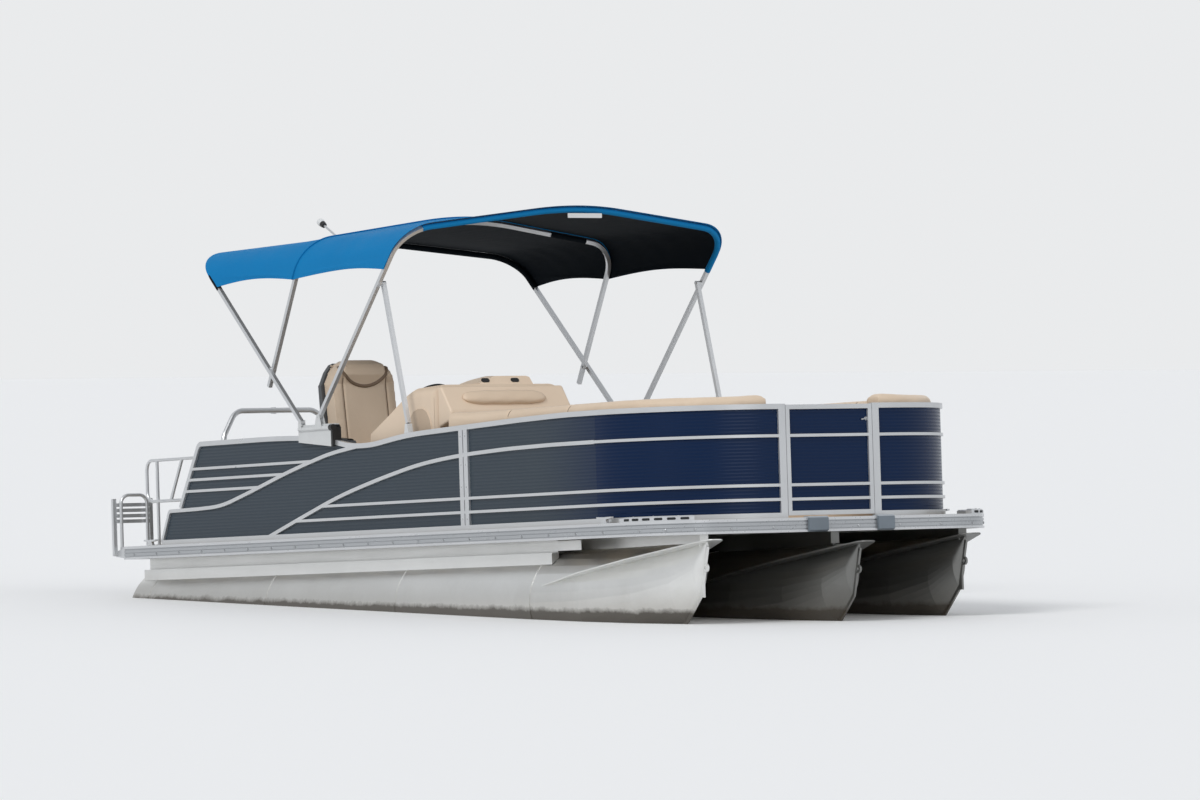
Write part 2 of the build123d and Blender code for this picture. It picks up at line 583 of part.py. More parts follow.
# Helm console: moulded shell, open under the dash at its aft side
CONSOLE_Y = (-1120, -180)
CONSOLE_MIDDLE = (CONSOLE_Y[0] + CONSOLE_Y[1]) / 2
CONSOLE_WIDE = CONSOLE_Y[1] - CONSOLE_Y[0]
CONSOLE_FRONT = 520
CONSOLE_TOP = 1424
CONSOLE_WALL = 8
CONSOLE_SIDE = (
    (-140, DECK_TOP), (CONSOLE_FRONT, DECK_TOP), (CONSOLE_FRONT, 1404), (492, CONSOLE_TOP), (250, 1410),
    (-60, 1250), (-290, 1140), (-300, 1060), (-140, 900),
)
CONSOLE_FRONT_R = 75
CONSOLE_SHOULDER_R = 80
CONSOLE_LINING = 1345
with BuildPart() as console:
    with BuildSketch(Plane.XZ.offset(-CONSOLE_MIDDLE)) as console_side:
        with BuildLine():
            Polyline(*CONSOLE_SIDE, close=True)
        make_face()
    extrude(amount=CONSOLE_WIDE / 2, both=True)
    fillet(console.edges().filter_by(Axis.Z).group_by(Axis.X)[-1], CONSOLE_FRONT_R)
    # rounded shoulders, seen from the bow
    with BuildSketch(Plane.YZ.offset(CONSOLE_SIDE[-2][0])) as console_end:
        with Locations((CONSOLE_MIDDLE, (DECK_TOP + CONSOLE_TOP) / 2)):
            Rectangle(CONSOLE_WIDE, CONSOLE_TOP - DECK_TOP)
        fillet(console_end.vertices().group_by(Axis.Y)[-1], CONSOLE_SHOULDER_R)
    extrude(amount=CONSOLE_FRONT - CONSOLE_SIDE[-2][0], mode=Mode.INTERSECT)
    with BuildSketch(Plane.XZ.offset(-CONSOLE_MIDDLE)):
        with BuildLine():
            Polyline(
                (-141, DECK_TOP), (CONSOLE_FRONT - 40, DECK_TOP), (CONSOLE_FRONT - 40, CONSOLE_LINING),
                (180, CONSOLE_LINING), (-60, 1218), (-141, 1180), close=True,
            )
        make_face()
    extrude(amount=CONSOLE_WIDE / 2 - CONSOLE_WALL, both=True, mode=Mode.SUBTRACT)
console.part.label = "console"
export_step(console.part, "parts/console.step")

# Hood over the instruments
HOOD_Y = (-760, -360)
HOOD_SIDE = ((240, 1405), (478, 1423.5), (446, 1478), (300, 1484), (210, 1440))
HOOD_END = (
    (-760, 1350), (-760, 1432), (-690, 1462), (-610, 1482), (-420, 1486), (-372, 1470), (-360, 1420), (-360, 1350),
)
with BuildPart() as console_hood:
    with BuildSketch(Plane.XZ.offset(-sum(HOOD_Y) / 2)):
        with BuildLine():
            Polyline(*HOOD_SIDE, close=True)
        make_face()
    extrude(amount=(HOOD_Y[1] - HOOD_Y[0]) / 2, both=True)
    chamfer(console_hood.edges().filter_by(Axis.Y).group_by(Axis.Z)[-1], 8)
    with BuildSketch(Plane.YZ):
        with BuildLine():
            Polyline(*HOOD_END, close=True)
        make_face()
    extrude(amount=CONSOLE_FRONT, mode=Mode.INTERSECT)
    # standing off the console's sloping top
    with BuildSketch(Plane.XZ.offset(-sum(HOOD_Y) / 2)):
        with BuildLine():
            Polyline(*CONSOLE_SIDE, close=True)
        make_face()
    extrude(amount=CONSOLE_WIDE / 2, both=True, mode=Mode.SUBTRACT)
console_hood.part.label = "console_hood"
export_step(console_hood.part, "parts/console_hood.step")

# Steering column and wheel on a raked axis
WHEEL_RAKE = 38
WHEEL_HUB = (-330, -640, 1300)
WHEEL_R = 175
WHEEL_RIM = 14
WHEEL_HUB_R = 42
SPOKE = 26
COLUMN_R = 30
COLUMN_LENGTH = 175
rake = radians(WHEEL_RAKE)
wheel_plane = Plane(origin=WHEEL_HUB, x_dir=(0, 1, 0), z_dir=(-cos(rake), 0, sin(rake)))
with BuildPart() as steering_wheel:
    with BuildSketch(wheel_plane):
        Circle(WHEEL_HUB_R)
        for turn in (90, 210, 330):
            with PolarLocations(WHEEL_R / 2, 1, start_angle=turn):
                Rectangle(WHEEL_R - WHEEL_RIM, SPOKE)
    extrude(amount=6, both=True)
    with BuildSketch(wheel_plane):
        Circle(WHEEL_R + WHEEL_RIM)
        Circle(WHEEL_R - WHEEL_RIM, mode=Mode.SUBTRACT)
    extrude(amount=WHEEL_RIM, both=True)
    with BuildSketch(wheel_plane):
        Circle(WHEEL_HUB_R)
    extrude(amount=22, both=True)
steering_wheel.part.label = "steering_wheel"
export_step(steering_wheel.part, "parts/steering_wheel.step")

with BuildPart() as steering_column:
    with BuildSketch(wheel_plane.offset(-22 - SEAT_GAP)):
        Circle(COLUMN_R)
    extrude(amount=-COLUMN_LENGTH)
    with BuildSketch(Plane.XZ.offset(-CONSOLE_MIDDLE)):
        with BuildLine():
            Polyline(*CONSOLE_SIDE, close=True)
        make_face()
    extrude(amount=CONSOLE_WIDE / 2, both=True, mode=Mode.SUBTRACT)
steering_column.part.label = "steering_column"
export_step(steering_column.part, "parts/steering_column.step")

# Helm chair on its pedestal
CHAIR_AT = (-1080, -610)
CHAIR_HALF = 252
SEAT_UNDER = 880
PEDESTAL_R = 37
PEDESTAL_FOOT_R = 175
PEDESTAL_FOOT = 18
PEDESTAL_TOP = SEAT_UNDER - SEAT_GAP
with BuildPart() as chair_pedestal:
    with BuildSketch(Plane.XY.offset(DECK_TOP)):
        with Locations(CHAIR_AT):
            Circle(PEDESTAL_FOOT_R)
    extrude(amount=PEDESTAL_FOOT)
    chamfer(chair_pedestal.edges().group_by(Axis.Z)[-1], 10)
    with BuildSketch(Plane.XY.offset(DECK_TOP)):
        with Locations(CHAIR_AT):
            Circle(PEDESTAL_R)
    extrude(amount=PEDESTAL_TOP - DECK_TOP)
chair_pedestal.part.label = "chair_pedestal"
export_step(chair_pedestal.part, "parts/chair_pedestal.step")

# The chair's grey shell: a seat pan, a back shell and two arms
PAN_THICK = 46
SHELL_SIDE = (
    (-850, SEAT_UNDER), (-838, SEAT_UNDER + PAN_THICK), (-1240, SEAT_UNDER + PAN_THICK), (-1262, 1040),
    (-1330, 1600), (-1350, 1640), (-1372, 1630), (-1362, 1560), (-1310, 1020), (-1285, 900), (-1262, SEAT_UNDER),
)
SHELL_HALF = CHAIR_HALF + 6
SHELL_DROP = 12
ARM_SIDE = (
    (-1290, 1090), (-1262, 1140), (-1030, 1128), (-900, 1118), (-880, 1090), (-900, 1064), (-1010, 1056),
    (-1075, 1016), (-1098, 900), (-1140, 900), (-1118, 1040), (-1150, 1080), (-1268, 1082),
)
ARM_WIDE = 54
# Columns: distance from the chair's middle, Z along the sloping shoulder
SHOULDER = ((280, 1490), (252, 1510), (212, 1590), (168, 1640), (120, 1668), (70, 1680), (70, 1720), (280, 1720))


def cut_shoulders(inward):
    """Slope a back's shoulders down from the narrower headrest."""
    with BuildSketch(Plane.YZ.offset(-1400)) as cut:
        for sign in (-1, 1):
            with BuildLine():
                Polyline(*[(CHAIR_AT[1] + sign * w, z - inward) for w, z in SHOULDER], close=True)
            make_face()
    extrude(cut.sketch, amount=300, mode=Mode.SUBTRACT)


with BuildPart() as chair_frame:
    with BuildSketch(Plane.XZ.offset(-CHAIR_AT[1])):
        with BuildLine():
            Polyline(*SHELL_SIDE, close=True)
        make_face()
    extrude(amount=SHELL_HALF, both=True)
    for sign in (-1, 1):
        with BuildSketch(Plane.XZ.offset(-CHAIR_AT[1] - sign * SHELL_HALF)) as arm:
            with BuildLine():
                Polyline(*ARM_SIDE, close=True)
            make_face()
        extrude(amount=-sign * ARM_WIDE)
    cut_shoulders(SHELL_DROP)
chair_frame.part.label = "chair_frame"
export_step(chair_frame.part, "parts/chair_frame.step")

# The chair's cushions: seat, back with a headrest
SEAT_SIDE = (
    (-832, SEAT_UNDER + PAN_THICK + SEAT_GAP), (-812, 970), (-830, 1020), (-870, 1034), (-1216, 1016),
    (-1239, 990), (-1239, SEAT_UNDER + PAN_THICK + SEAT_GAP),
)
BACK_SIDE = (
    (-1232, 1030), (-1150, 1040), (-1140, 1080), (-1196, 1500), (-1180, 1560), (-1196, 1640), (-1250, 1674),
    (-1320, 1668), (-1348, 1640.3), (-1330, 1600), (-1262, 1040),
)
with BuildPart() as helm_chair:
    for outline, edge in ((SEAT_SIDE, 40), (BACK_SIDE, 30)):
        with BuildSketch(Plane.XZ.offset(-CHAIR_AT[1])):
            with BuildLine():
                Polyline(*outline, close=True)
            make_face()
        extrude(amount=CHAIR_HALF, both=True)
    with BuildSketch(Plane.XZ.offset(-CHAIR_AT[1])):
        with BuildLine():
            Polyline(*SHELL_SIDE, close=True)
        make_face()
        offset(amount=SEAT_GAP, kind=Kind.INTERSECTION)
    extrude(amount=SHELL_HALF + SEAT_GAP, both=True, mode=Mode.SUBTRACT)
    cut_shoulders(0)
helm_chair.part.label = "helm_chair"
export_step(helm_chair.part, "parts/helm_chair.step")

# Lounges: bases, seats and bolsters follow the inside of the fence
LOUNGE_OUT = 1172
LOUNGE_FRONT = 3192
LOUNGE_CORNER = 702
LOUNGE_IN = 620
LOUNGE_RETURN = 2640
LOUNGE_END = 400
LOUNGE_NOSE_R = 120
BASE_TOP = 780
CUSHION_TOP = 920
BOLSTER = 150
BOLSTER_TOP = 1252
CUSHION_LIP = 16
# Columns: name, side, aft end, whether it runs round the bow corner
LOUNGES = (
    ("bow_starboard", -1, 700, True),
    ("bow_port", 1, 560, True),
    ("aft_port", 1, -2200, False),
)
AFT_LOUNGE_END = -700


def lounge_plan(sign, aft, round_corner, edge, inside):
    """Outline of a lounge in plan, held in by an edge all round its outer side."""
    outer = LOUNGE_OUT - edge
    corner = LOUNGE_CORNER - edge
    if not round_corner:
        Polyline(
            (aft + edge, sign * inside), (aft + edge, sign * outer), (AFT_LOUNGE_END - edge, sign * outer),
            (AFT_LOUNGE_END - edge, sign * inside), close=True,
        )
        return
    front = LOUNGE_FRONT - edge
    side = Line((aft + edge, sign * inside), (aft + edge, sign * outer))
    run = Line(side @ 1, (front - corner, sign * outer))
    bend = JernArc(run @ 1, (1, 0), corner, -sign * 90)
    across = Line(bend @ 1, (front, sign * LOUNGE_END))
    step = LOUNGE_IN - inside
    FilletPolyline(
        across @ 1, (LOUNGE_RETURN - step, sign * LOUNGE_END), (LOUNGE_RETURN - step, sign * inside), side @ 0,
        radius=[0, LOUNGE_NOSE_R],
    )


with BuildPart() as lounge_bases:
    for name, sign, aft, round_corner in LOUNGES:
        with BuildSketch(Plane.XY.offset(DECK_TOP)):
            with BuildLine():
                lounge_plan(sign, aft, round_corner, 0, LOUNGE_IN)
            make_face()
        extrude(amount=BASE_TOP - DECK_TOP)
lounge_bases.part.label = "lounge_bases"
export_step(lounge_bases.part, "parts/lounge_bases.step")

for name, sign, aft, round_corner in LOUNGES:
    with BuildPart() as lounge_seat:
        with BuildSketch(Plane.XY.offset(BASE_TOP + SEAT_GAP)):
            with BuildLine():
                lounge_plan(sign, aft, round_corner, BOLSTER, LOUNGE_IN - CUSHION_LIP)
            make_face()
        extrude(amount=CUSHION_TOP - BASE_TOP)
        chamfer(lounge_seat.edges().group_by(Axis.Z)[-1], 22)
    lounge_seat.part.label = f"lounge_seat_{name}"
    export_step(lounge_seat.part, f"parts/lounge_seat_{name}.step")

# Bolsters: the backs of the lounges, a band along the fence
BOLSTER_EDGE = 3
BACK_CHAMFER = 34
CORNER_BACK_TOP = 1278
CORNER_BACK_X = 2500
for name, sign, aft, round_corner in LOUNGES:
    with BuildPart() as lounge_back:
        with BuildSketch(Plane.XY.offset(BASE_TOP + SEAT_GAP)):
            with BuildLine():
                lounge_plan(sign, aft, round_corner, BOLSTER_EDGE, LOUNGE_IN)
            make_face()
            with BuildLine():
                lounge_plan(sign, aft, round_corner, BOLSTER - SEAT_GAP, 0)
            make_face(mode=Mode.SUBTRACT)
            if not round_corner:
                # open on the side of the seat
                with Locations(((aft + AFT_LOUNGE_END) / 2, 0)):
                    Rectangle(AFT_LOUNGE_END - aft, 2 * (LOUNGE_OUT - BOLSTER + SEAT_GAP), mode=Mode.SUBTRACT)
            else:
                with Locations((aft, 0)):
                    Rectangle(2 * BOLSTER, 2 * (LOUNGE_OUT - BOLSTER + SEAT_GAP), mode=Mode.SUBTRACT)
        extrude(amount=BOLSTER_TOP - BASE_TOP)
        chamfer(lounge_back.edges().group_by(Axis.Z)[-1], BACK_CHAMFER)
    lounge_back.part.label = f"lounge_back_{name}"
    export_step(lounge_back.part, f"parts/lounge_back_{name}.step")

# Chaise backs: raked pads at the aft ends of the bow lounges, and the pillow on the console
CHAISE_SIDE = (
    (0, 0), (150, 0), (100, 312), (124, 338), (128, 372), (108, 392), (30, 396), (0, 376),
)
# Columns: side, aft face X, inner Y, outer Y, height added above the foot
CHAISES = ((-1, CONSOLE_FRONT, 290, 930, 51), (1, 560, LOUNGE_IN, LOUNGE_OUT - BOLSTER, 0))
with BuildPart() as chaise_backs:
    for sign, aft, inner, outer, higher in CHAISES:
        foot = CUSHION_TOP + SEAT_GAP
        with BuildSketch(Plane.XZ.offset(-sign * (inner + outer) / 2)):
            with BuildLine():
                Polyline(*[(aft + SEAT_GAP + x, foot + z + (higher if z else 0)) for x, z in CHAISE_SIDE], close=True)
            make_face()
        extrude(amount=(outer - inner) / 2 - SEAT_GAP, both=True)
chaise_backs.part.label = "chaise_backs"
export_step(chaise_backs.part, "parts/chaise_backs.step")


# Canopy frame: square tubes, each arch in its own raked plane
PIVOT_BOSS = 15
PIN_HEAD_R = 9
PIN_HEAD = 4
EAR_THICK = 5
EAR_GAP = 0.5
ARCH_CORNER_R = 240
ARCH_CROWN = 180
CROWN_R = 2000
CROWN_RISE = 27
MID_BELOW = 125
# Columns: name, foot, crown, half width, how far the legs run on below the foot
ARCHES = (
    ("bimini_rear_arch", REAR_BASE, REAR_HEAD, ARCH_HALF, 0),
    ("bimini_mid_arch", MID_PIVOT, MID_HEAD, ARCH_HALF - MID_NARROWER, MID_BELOW),
    ("bimini_front_arch", MAIN_BASE, FRONT_HEAD, ARCH_HALF, 0),
)


def rake_plane(base, head):
    """Plane of an arch, its X across the boat and its Y up the rake, and the rake's length."""
    length = hypot(head[0] - base[0], head[1] - base[1])
    run = (head[0] - base[0]) / length
    rise = (head[1] - base[1]) / length
    return Plane(origin=(base[0], 0, base[1]), x_dir=(0, 1, 0), z_dir=(rise, 0, -run)), length


def arch_line(length, half, foot, outward, mode=Mode.ADD):
    """Centre line of an arch, moved outward by a distance."""
    wide = half + outward
    top = length + outward
    return FilletPolyline(
        (-wide, foot), (-wide, top - ARCH_CROWN), (0, top + CROWN_RISE), (wide, top - ARCH_CROWN), (wide, foot),
        radius=[ARCH_CORNER_R + outward, CROWN_R + outward, ARCH_CORNER_R + outward], mode=mode,
    )


def cross_pin(x, z, inner, outer, radius):
    """Round pins across the boat at one place, on both sides."""
    for sign in (-1, 1):
        with BuildSketch(Plane.XZ.offset(-sign * inner)) as end:
            with Locations((x, z)):
                Circle(radius)
        extrude(end.sketch, amount=-sign * (outer - inner))


for name, base, head, half, below in ARCHES:
    plane, length = rake_plane(base, head)
    with BuildPart() as arch:
        with BuildSketch(plane.offset(-ARCH_TUBE / 2)):
            with BuildLine():
                arch_line(length, half, -below, 0)
            trace(line_width=ARCH_TUBE)
        extrude(amount=ARCH_TUBE)
        cross_pin(*base, half - ARCH_TUBE / 2, half + ARCH_TUBE / 2, PIVOT_BOSS)
        for sign in (-1, 1):
            with BuildSketch(Plane.XZ.offset(-sign * half)):
                with Locations(base):
                    Circle(PIN_R + PIN_PLAY)
            extrude(amount=ARCH_TUBE, both=True, mode=Mode.SUBTRACT)
        if name != "bimini_mid_arch":
            # pivot for the leg or strut that folds on the inside of this one
            pivot, narrower = STRUT_HEAD, STRUT_NARROWER
            if name == "bimini_rear_arch":
                pivot, narrower = MID_PIVOT, MID_NARROWER
            face = half - narrower + ARCH_TUBE / 2 + EAR_GAP
            pin_end = half - narrower - ARCH_TUBE / 2 - EAR_GAP - PIN_HEAD
            cross_pin(*pivot, face, half, PIVOT_BOSS)
            cross_pin(*pivot, pin_end, half, PIN_R)
            cross_pin(*pivot, pin_end, pin_end + PIN_HEAD, PIN_HEAD_R)
    arch.part.label = name
    export_step(arch.part, f"parts/{name}.step")

with BuildPart() as bimini_struts:
    for sign in (-1, 1):
        strut_y = ARCH_HALF - STRUT_NARROWER
        with BuildSketch(Plane.XZ.offset(-sign * strut_y)):
            with BuildLine():
                Line(STRUT_HEAD, STRUT_FOOT)
            trace(line_width=ARCH_TUBE)
            with Locations(STRUT_HEAD):
                Circle(PIVOT_BOSS)
                Circle(PIN_R + PIN_PLAY, mode=Mode.SUBTRACT)
        extrude(amount=ARCH_TUBE / 2, both=True)
bimini_struts.part.label = "bimini_struts"
export_step(bimini_struts.part, "parts/bimini_struts.step")

# Canopy mounts: a box on each top bar with lugs for the legs, and a post for the strut's foot
MOUNT_IN = 1180
MOUNT_OUT = 1246
MOUNT_TOP = 1222
MOUNT_SIDE = (
    (-990, 1144), (-620, 1108), (-560, 1099), (-560, 1196), (-586, MOUNT_TOP), (-974, MOUNT_TOP), (-990, 1206),
)
SKIRT_SIDE = ((-990, 1112), (-560, 1072), (-560, 1196), (-586, MOUNT_TOP), (-974, MOUNT_TOP), (-990, 1206))
ROLL_AT = (MOUNT_OUT, 1196)
ROLL_R = 15
ROLL_X = (-975, -580)
CAP_R = 21
CAP_LENGTH = 35
# Columns: pivot, half width of the lug at its foot
LUGS = ((REAR_BASE, 20), (MAIN_BASE, 48))
LUG_HALF_TOP = 14
LUG_FOOT = 1190
POST_FOOT = (26, 1120)
POST_HEAD = (14, 1185)
with BuildPart() as bimini_mounts:
    for sign in (-1, 1):
        with BuildSketch(Plane.XZ.offset(-sign * MOUNT_IN)):
            with BuildLine():
                Polyline(*MOUNT_SIDE, close=True)
            make_face()
            with BuildLine():
                FilletPolyline(UPPER_BAR, radius=[REAR_BEND] + easy_radii(UPPER_BAR)[1:])
            trace(line_width=BAR + 2 * SEAT_GAP, mode=Mode.SUBTRACT)
        extrude(amount=-sign * (FENCE_OUT + 2 * SEAT_GAP - MOUNT_IN))
        with BuildSketch(Plane.XZ.offset(-sign * (FENCE_OUT + SEAT_GAP))):
            with BuildLine():
                Polyline(*SKIRT_SIDE, close=True)
            make_face()
        extrude(amount=-sign * (MOUNT_OUT - FENCE_OUT - SEAT_GAP))
        for start, end, radius in ((ROLL_X[0], ROLL_X[1], ROLL_R), (ROLL_X[1], ROLL_X[1] + CAP_LENGTH, CAP_R)):
            with BuildSketch(Plane.YZ.offset(start)):
                with Locations((sign * ROLL_AT[0], ROLL_AT[1])):
                    Circle(radius)
            extrude(amount=end - start)
        for (x, z), wide in LUGS:
            for shift in (-1, 1):
                lug_y = sign * (ARCH_HALF + shift * (ARCH_TUBE / 2 + EAR_GAP + EAR_THICK / 2))
                with BuildSketch(Plane.XZ.offset(-lug_y)):
                    with BuildLine():
                        Polyline(
                            (x - wide, LUG_FOOT), (x + wide, LUG_FOOT), (x + LUG_HALF_TOP, z + PIVOT_BOSS),
                            (x - LUG_HALF_TOP, z + PIVOT_BOSS), close=True,
                        )
                    make_face()
                extrude(amount=EAR_THICK / 2, both=True)
        # post that the strut's foot stands on
        with BuildSketch(Plane.XZ.offset(-sign * (ARCH_HALF - STRUT_NARROWER))):
            with BuildLine():
                Polyline(
                    (STRUT_FOOT[0] - POST_FOOT[0], POST_FOOT[1]), (STRUT_FOOT[0] + POST_FOOT[0], POST_FOOT[1]),
                    (STRUT_FOOT[0] + POST_HEAD[0], POST_HEAD[1]), (STRUT_FOOT[0] - POST_HEAD[0], POST_HEAD[1]),
                    close=True,
                )
            make_face()
            with BuildLine():
                FilletPolyline(UPPER_BAR, radius=[REAR_BEND] + easy_radii(UPPER_BAR)[1:])
            trace(line_width=BAR + 2 * SEAT_GAP, mode=Mode.SUBTRACT)
        extrude(amount=ARCH_TUBE / 2 + EAR_GAP + EAR_THICK, both=True)
    for x, z in (REAR_BASE, MAIN_BASE):
        pin_reach = ARCH_TUBE / 2 + EAR_GAP + EAR_THICK + 3
        cross_pin(x, z, ARCH_HALF - pin_reach, ARCH_HALF + pin_reach, PIN_R)
bimini_mounts.part.label = "bimini_mounts"
export_step(bimini_mounts.part, "parts/bimini_mounts.step")

# Canopy cloth: two stretched panels over the arches
CLOTH = 5
CLOTH_OFF = 17
CLOTH_LIFT = 12
CLOTH_OVERHANG = 20
CLOTH_SEAM = 1
CLOTH_EDGE_Z = 2165
BEND_STEPS = 10
# Columns: name, then foot, crown, half width and shift fore or aft of each end's arch
PANELS = (
    ("canvas_aft", (REAR_BASE, REAR_HEAD, ARCH_HALF, -CLOTH_OVERHANG),
     (MID_PIVOT, MID_HEAD, ARCH_HALF - MID_NARROWER, -CLOTH_SEAM)),
    ("canvas_fore", (MID_PIVOT, MID_HEAD, ARCH_HALF - MID_NARROWER, CLOTH_SEAM),
     (MAIN_BASE, FRONT_HEAD, ARCH_HALF, CLOTH_OVERHANG)),
)


def cloth_edge(length, half, foot, outward):
    """Places along an arch line, its bends cut into short straight steps."""
    line = arch_line(length, half, foot, outward, Mode.PRIVATE)
    bends = line.edges().filter_by(GeomType.CIRCLE)
    places = [bend @ (step / BEND_STEPS) for bend in bends for step in range(BEND_STEPS + 1)]
    return [line @ 0] + sorted(places, key=lambda place: place.X) + [line @ 1]


for name, *ends in PANELS:
    with BuildPart() as canvas:
        for base, head, half, shift in ends:
            plane, length = rake_plane(base, head)
            edge = (CLOTH_EDGE_Z - base[1]) / (head[1] - base[1]) * length
            seam = Plane(origin=plane.origin + Vector(shift, 0, CLOTH_LIFT), x_dir=plane.x_dir, z_dir=plane.z_dir)
            with BuildSketch(seam):
                with BuildLine():
                    outside = cloth_edge(length, half, edge, CLOTH_OFF + CLOTH / 2)
                    inside = cloth_edge(length, half, edge, CLOTH_OFF - CLOTH / 2)
                    Polyline(*outside, *reversed(inside), close=True)
                make_face()
        loft(ruled=True)
    canvas.part.label = name
    export_step(canvas.part, f"parts/{name}.step")

# Mooring cleats on the deck
# Columns: X, Y
CLEATS = ((2640, 1258), (2640, -1258), (-2980, 1245), (-2980, -1245))
CLEAT_LENGTH = 160
CLEAT_Z = 38
with BuildPart() as cleats:
    for x, y in CLEATS:
        with BuildSketch(Plane.XZ.offset(-y)):
            with BuildLine():
                Polyline(
                    (x - 34, DECK_TOP), (x + 34, DECK_TOP), (x + 22, DECK_TOP + CLEAT_Z - 14),
                    (x + CLEAT_LENGTH / 2, DECK_TOP + CLEAT_Z - 8), (x + CLEAT_LENGTH / 2, DECK_TOP + CLEAT_Z + 2),
                    (x, DECK_TOP + CLEAT_Z), (x - CLEAT_LENGTH / 2, DECK_TOP + CLEAT_Z + 2),
                    (x - CLEAT_LENGTH / 2, DECK_TOP + CLEAT_Z - 8), (x - 22, DECK_TOP + CLEAT_Z - 14), close=True,
                )
            make_face()
        extrude(amount=10, both=True)
cleats.part.label = "cleats"
export_step(cleats.part, "parts/cleats.step")

# Corner castings that cap the deck at the bow, and two clamps on the bow rail
CASTING_R = (330, 374)
CASTING_HIGH = 30
CASTING_CENTRE = (DECK_BOW - BOW_CORNER, HALF_BEAM - BOW_CORNER)
CASTING_TURN = (18, 104)
with BuildPart() as bow_castings:
    for sign in (-1, 1):
        with BuildSketch(Plane.XY.offset(DECK_TOP)):
            with BuildLine():
                start, end = (sign * turn for turn in CASTING_TURN)
                centre = (CASTING_CENTRE[0], sign * CASTING_CENTRE[1])
                inner = CenterArc(centre, CASTING_R[0], start, end - start)
                outer = CenterArc(centre, CASTING_R[1], start, end - start)
                Line(inner @ 0, outer @ 0)
                Line(inner @ 1, outer @ 1)
            make_face()
        extrude(amount=CASTING_HIGH)
    chamfer(bow_castings.edges().group_by(Axis.Z)[-1], 7)
bow_castings.part.label = "bow_castings"
export_step(bow_castings.part, "parts/bow_castings.step")

# Columns: the two sides' Y
CLAMPS = ((-218, -77), (297, 417))
CLAMP_OUT = 20
CLAMP_LIP = 7
with BuildPart() as rail_clamps:
    for low, high in CLAMPS:
        with BuildSketch(Plane.XZ.offset(-(low + high) / 2)):
            with BuildLine():
                Polyline(
                    (DECK_BOW, RAIL_BOTTOM), (DECK_BOW + CLAMP_OUT, RAIL_BOTTOM + 10),
                    (DECK_BOW + CLAMP_OUT, DECK_TOP - 6), (DECK_BOW + 8, DECK_TOP + CLAMP_LIP),
                    (DECK_BOW - 44, DECK_TOP + CLAMP_LIP), (DECK_BOW - 44, DECK_TOP), (DECK_BOW, DECK_TOP),
                    close=True,
                )
            make_face()
        extrude(amount=(high - low) / 2, both=True)
rail_clamps.part.label = "rail_clamps"
export_step(rail_clamps.part, "parts/rail_clamps.step")

# Light pole on the crown of the rear arch, leaning aft
POLE_R = 10
POLE_LENGTH = 425
POLE_STAND = 36
POLE_BLOCK = 36
LIGHT_R = 26
rear_plane, rear_length = rake_plane(REAR_BASE, REAR_HEAD)
pole_foot = rear_plane.from_local_coords(Vector(0, rear_length, -POLE_STAND))
POLE_TIP = (-2727, 2670)
pole_run = Vector(POLE_TIP[0] - pole_foot.X, 0, POLE_TIP[1] - pole_foot.Z).normalized()
with BuildPart() as light_pole:
    with BuildSketch(rear_plane.offset(-ARCH_TUBE / 2 - SEAT_GAP)):
        with Locations((0, rear_length)):
            Rectangle(POLE_BLOCK, ARCH_TUBE)
    extrude(amount=-POLE_BLOCK)
    with BuildSketch(Plane(origin=pole_foot, z_dir=pole_run)):
        Circle(POLE_R)
    extrude(amount=POLE_LENGTH - LIGHT_R)
    with BuildSketch(Plane(origin=pole_foot + pole_run * (POLE_LENGTH - 2 * LIGHT_R), z_dir=pole_run)) as light:
        Circle(LIGHT_R)
    extrude(amount=2 * LIGHT_R)
    chamfer(light_pole.edges().filter_by(GeomType.CIRCLE).group_by(Axis.X)[0], 8)
light_pole.part.label = "light_pole"
export_step(light_pole.part, "parts/light_pole.step")

# Tow bar: a bent tube over the stern deck, leaning aft, with two braces
TOW_TUBE_R = 19
TOW_FOOT = (-3210, DECK_TOP)
TOW_HEAD = (-3385, 1405)
TOW_HALF_FOOT = 470
TOW_BEND = 110
TOW_BRACE_HIGH = 560
TOW_BRACE_Y = 448
TOW_BRACE_R = 14
TOW_BRACE_FOOT = -2950
TOW_FOOT_PLATE = 110
TOW_PLATE_THICK = 8
tow_plane, tow_length = rake_plane(TOW_FOOT, TOW_HEAD)


def tow_point(across, up):
    """A place in the tow bar's leaning plane."""
    return tow_plane.from_local_coords(Vector(across, up, 0))


TUBE_SIDES = 12


def add_tube(points, radius, bend=None):
    """Sweep a many-sided tube along a line with rounded bends."""
    with BuildLine() as way:
        if bend:
            FilletPolyline(*points, radius=bend)
        else:
            Line(*points)
    with BuildSketch(Plane(origin=way.line @ 0, z_dir=way.line % 0)) as section:
        RegularPolygon(radius, TUBE_SIDES)
    sweep(section.sketch, path=way.line)


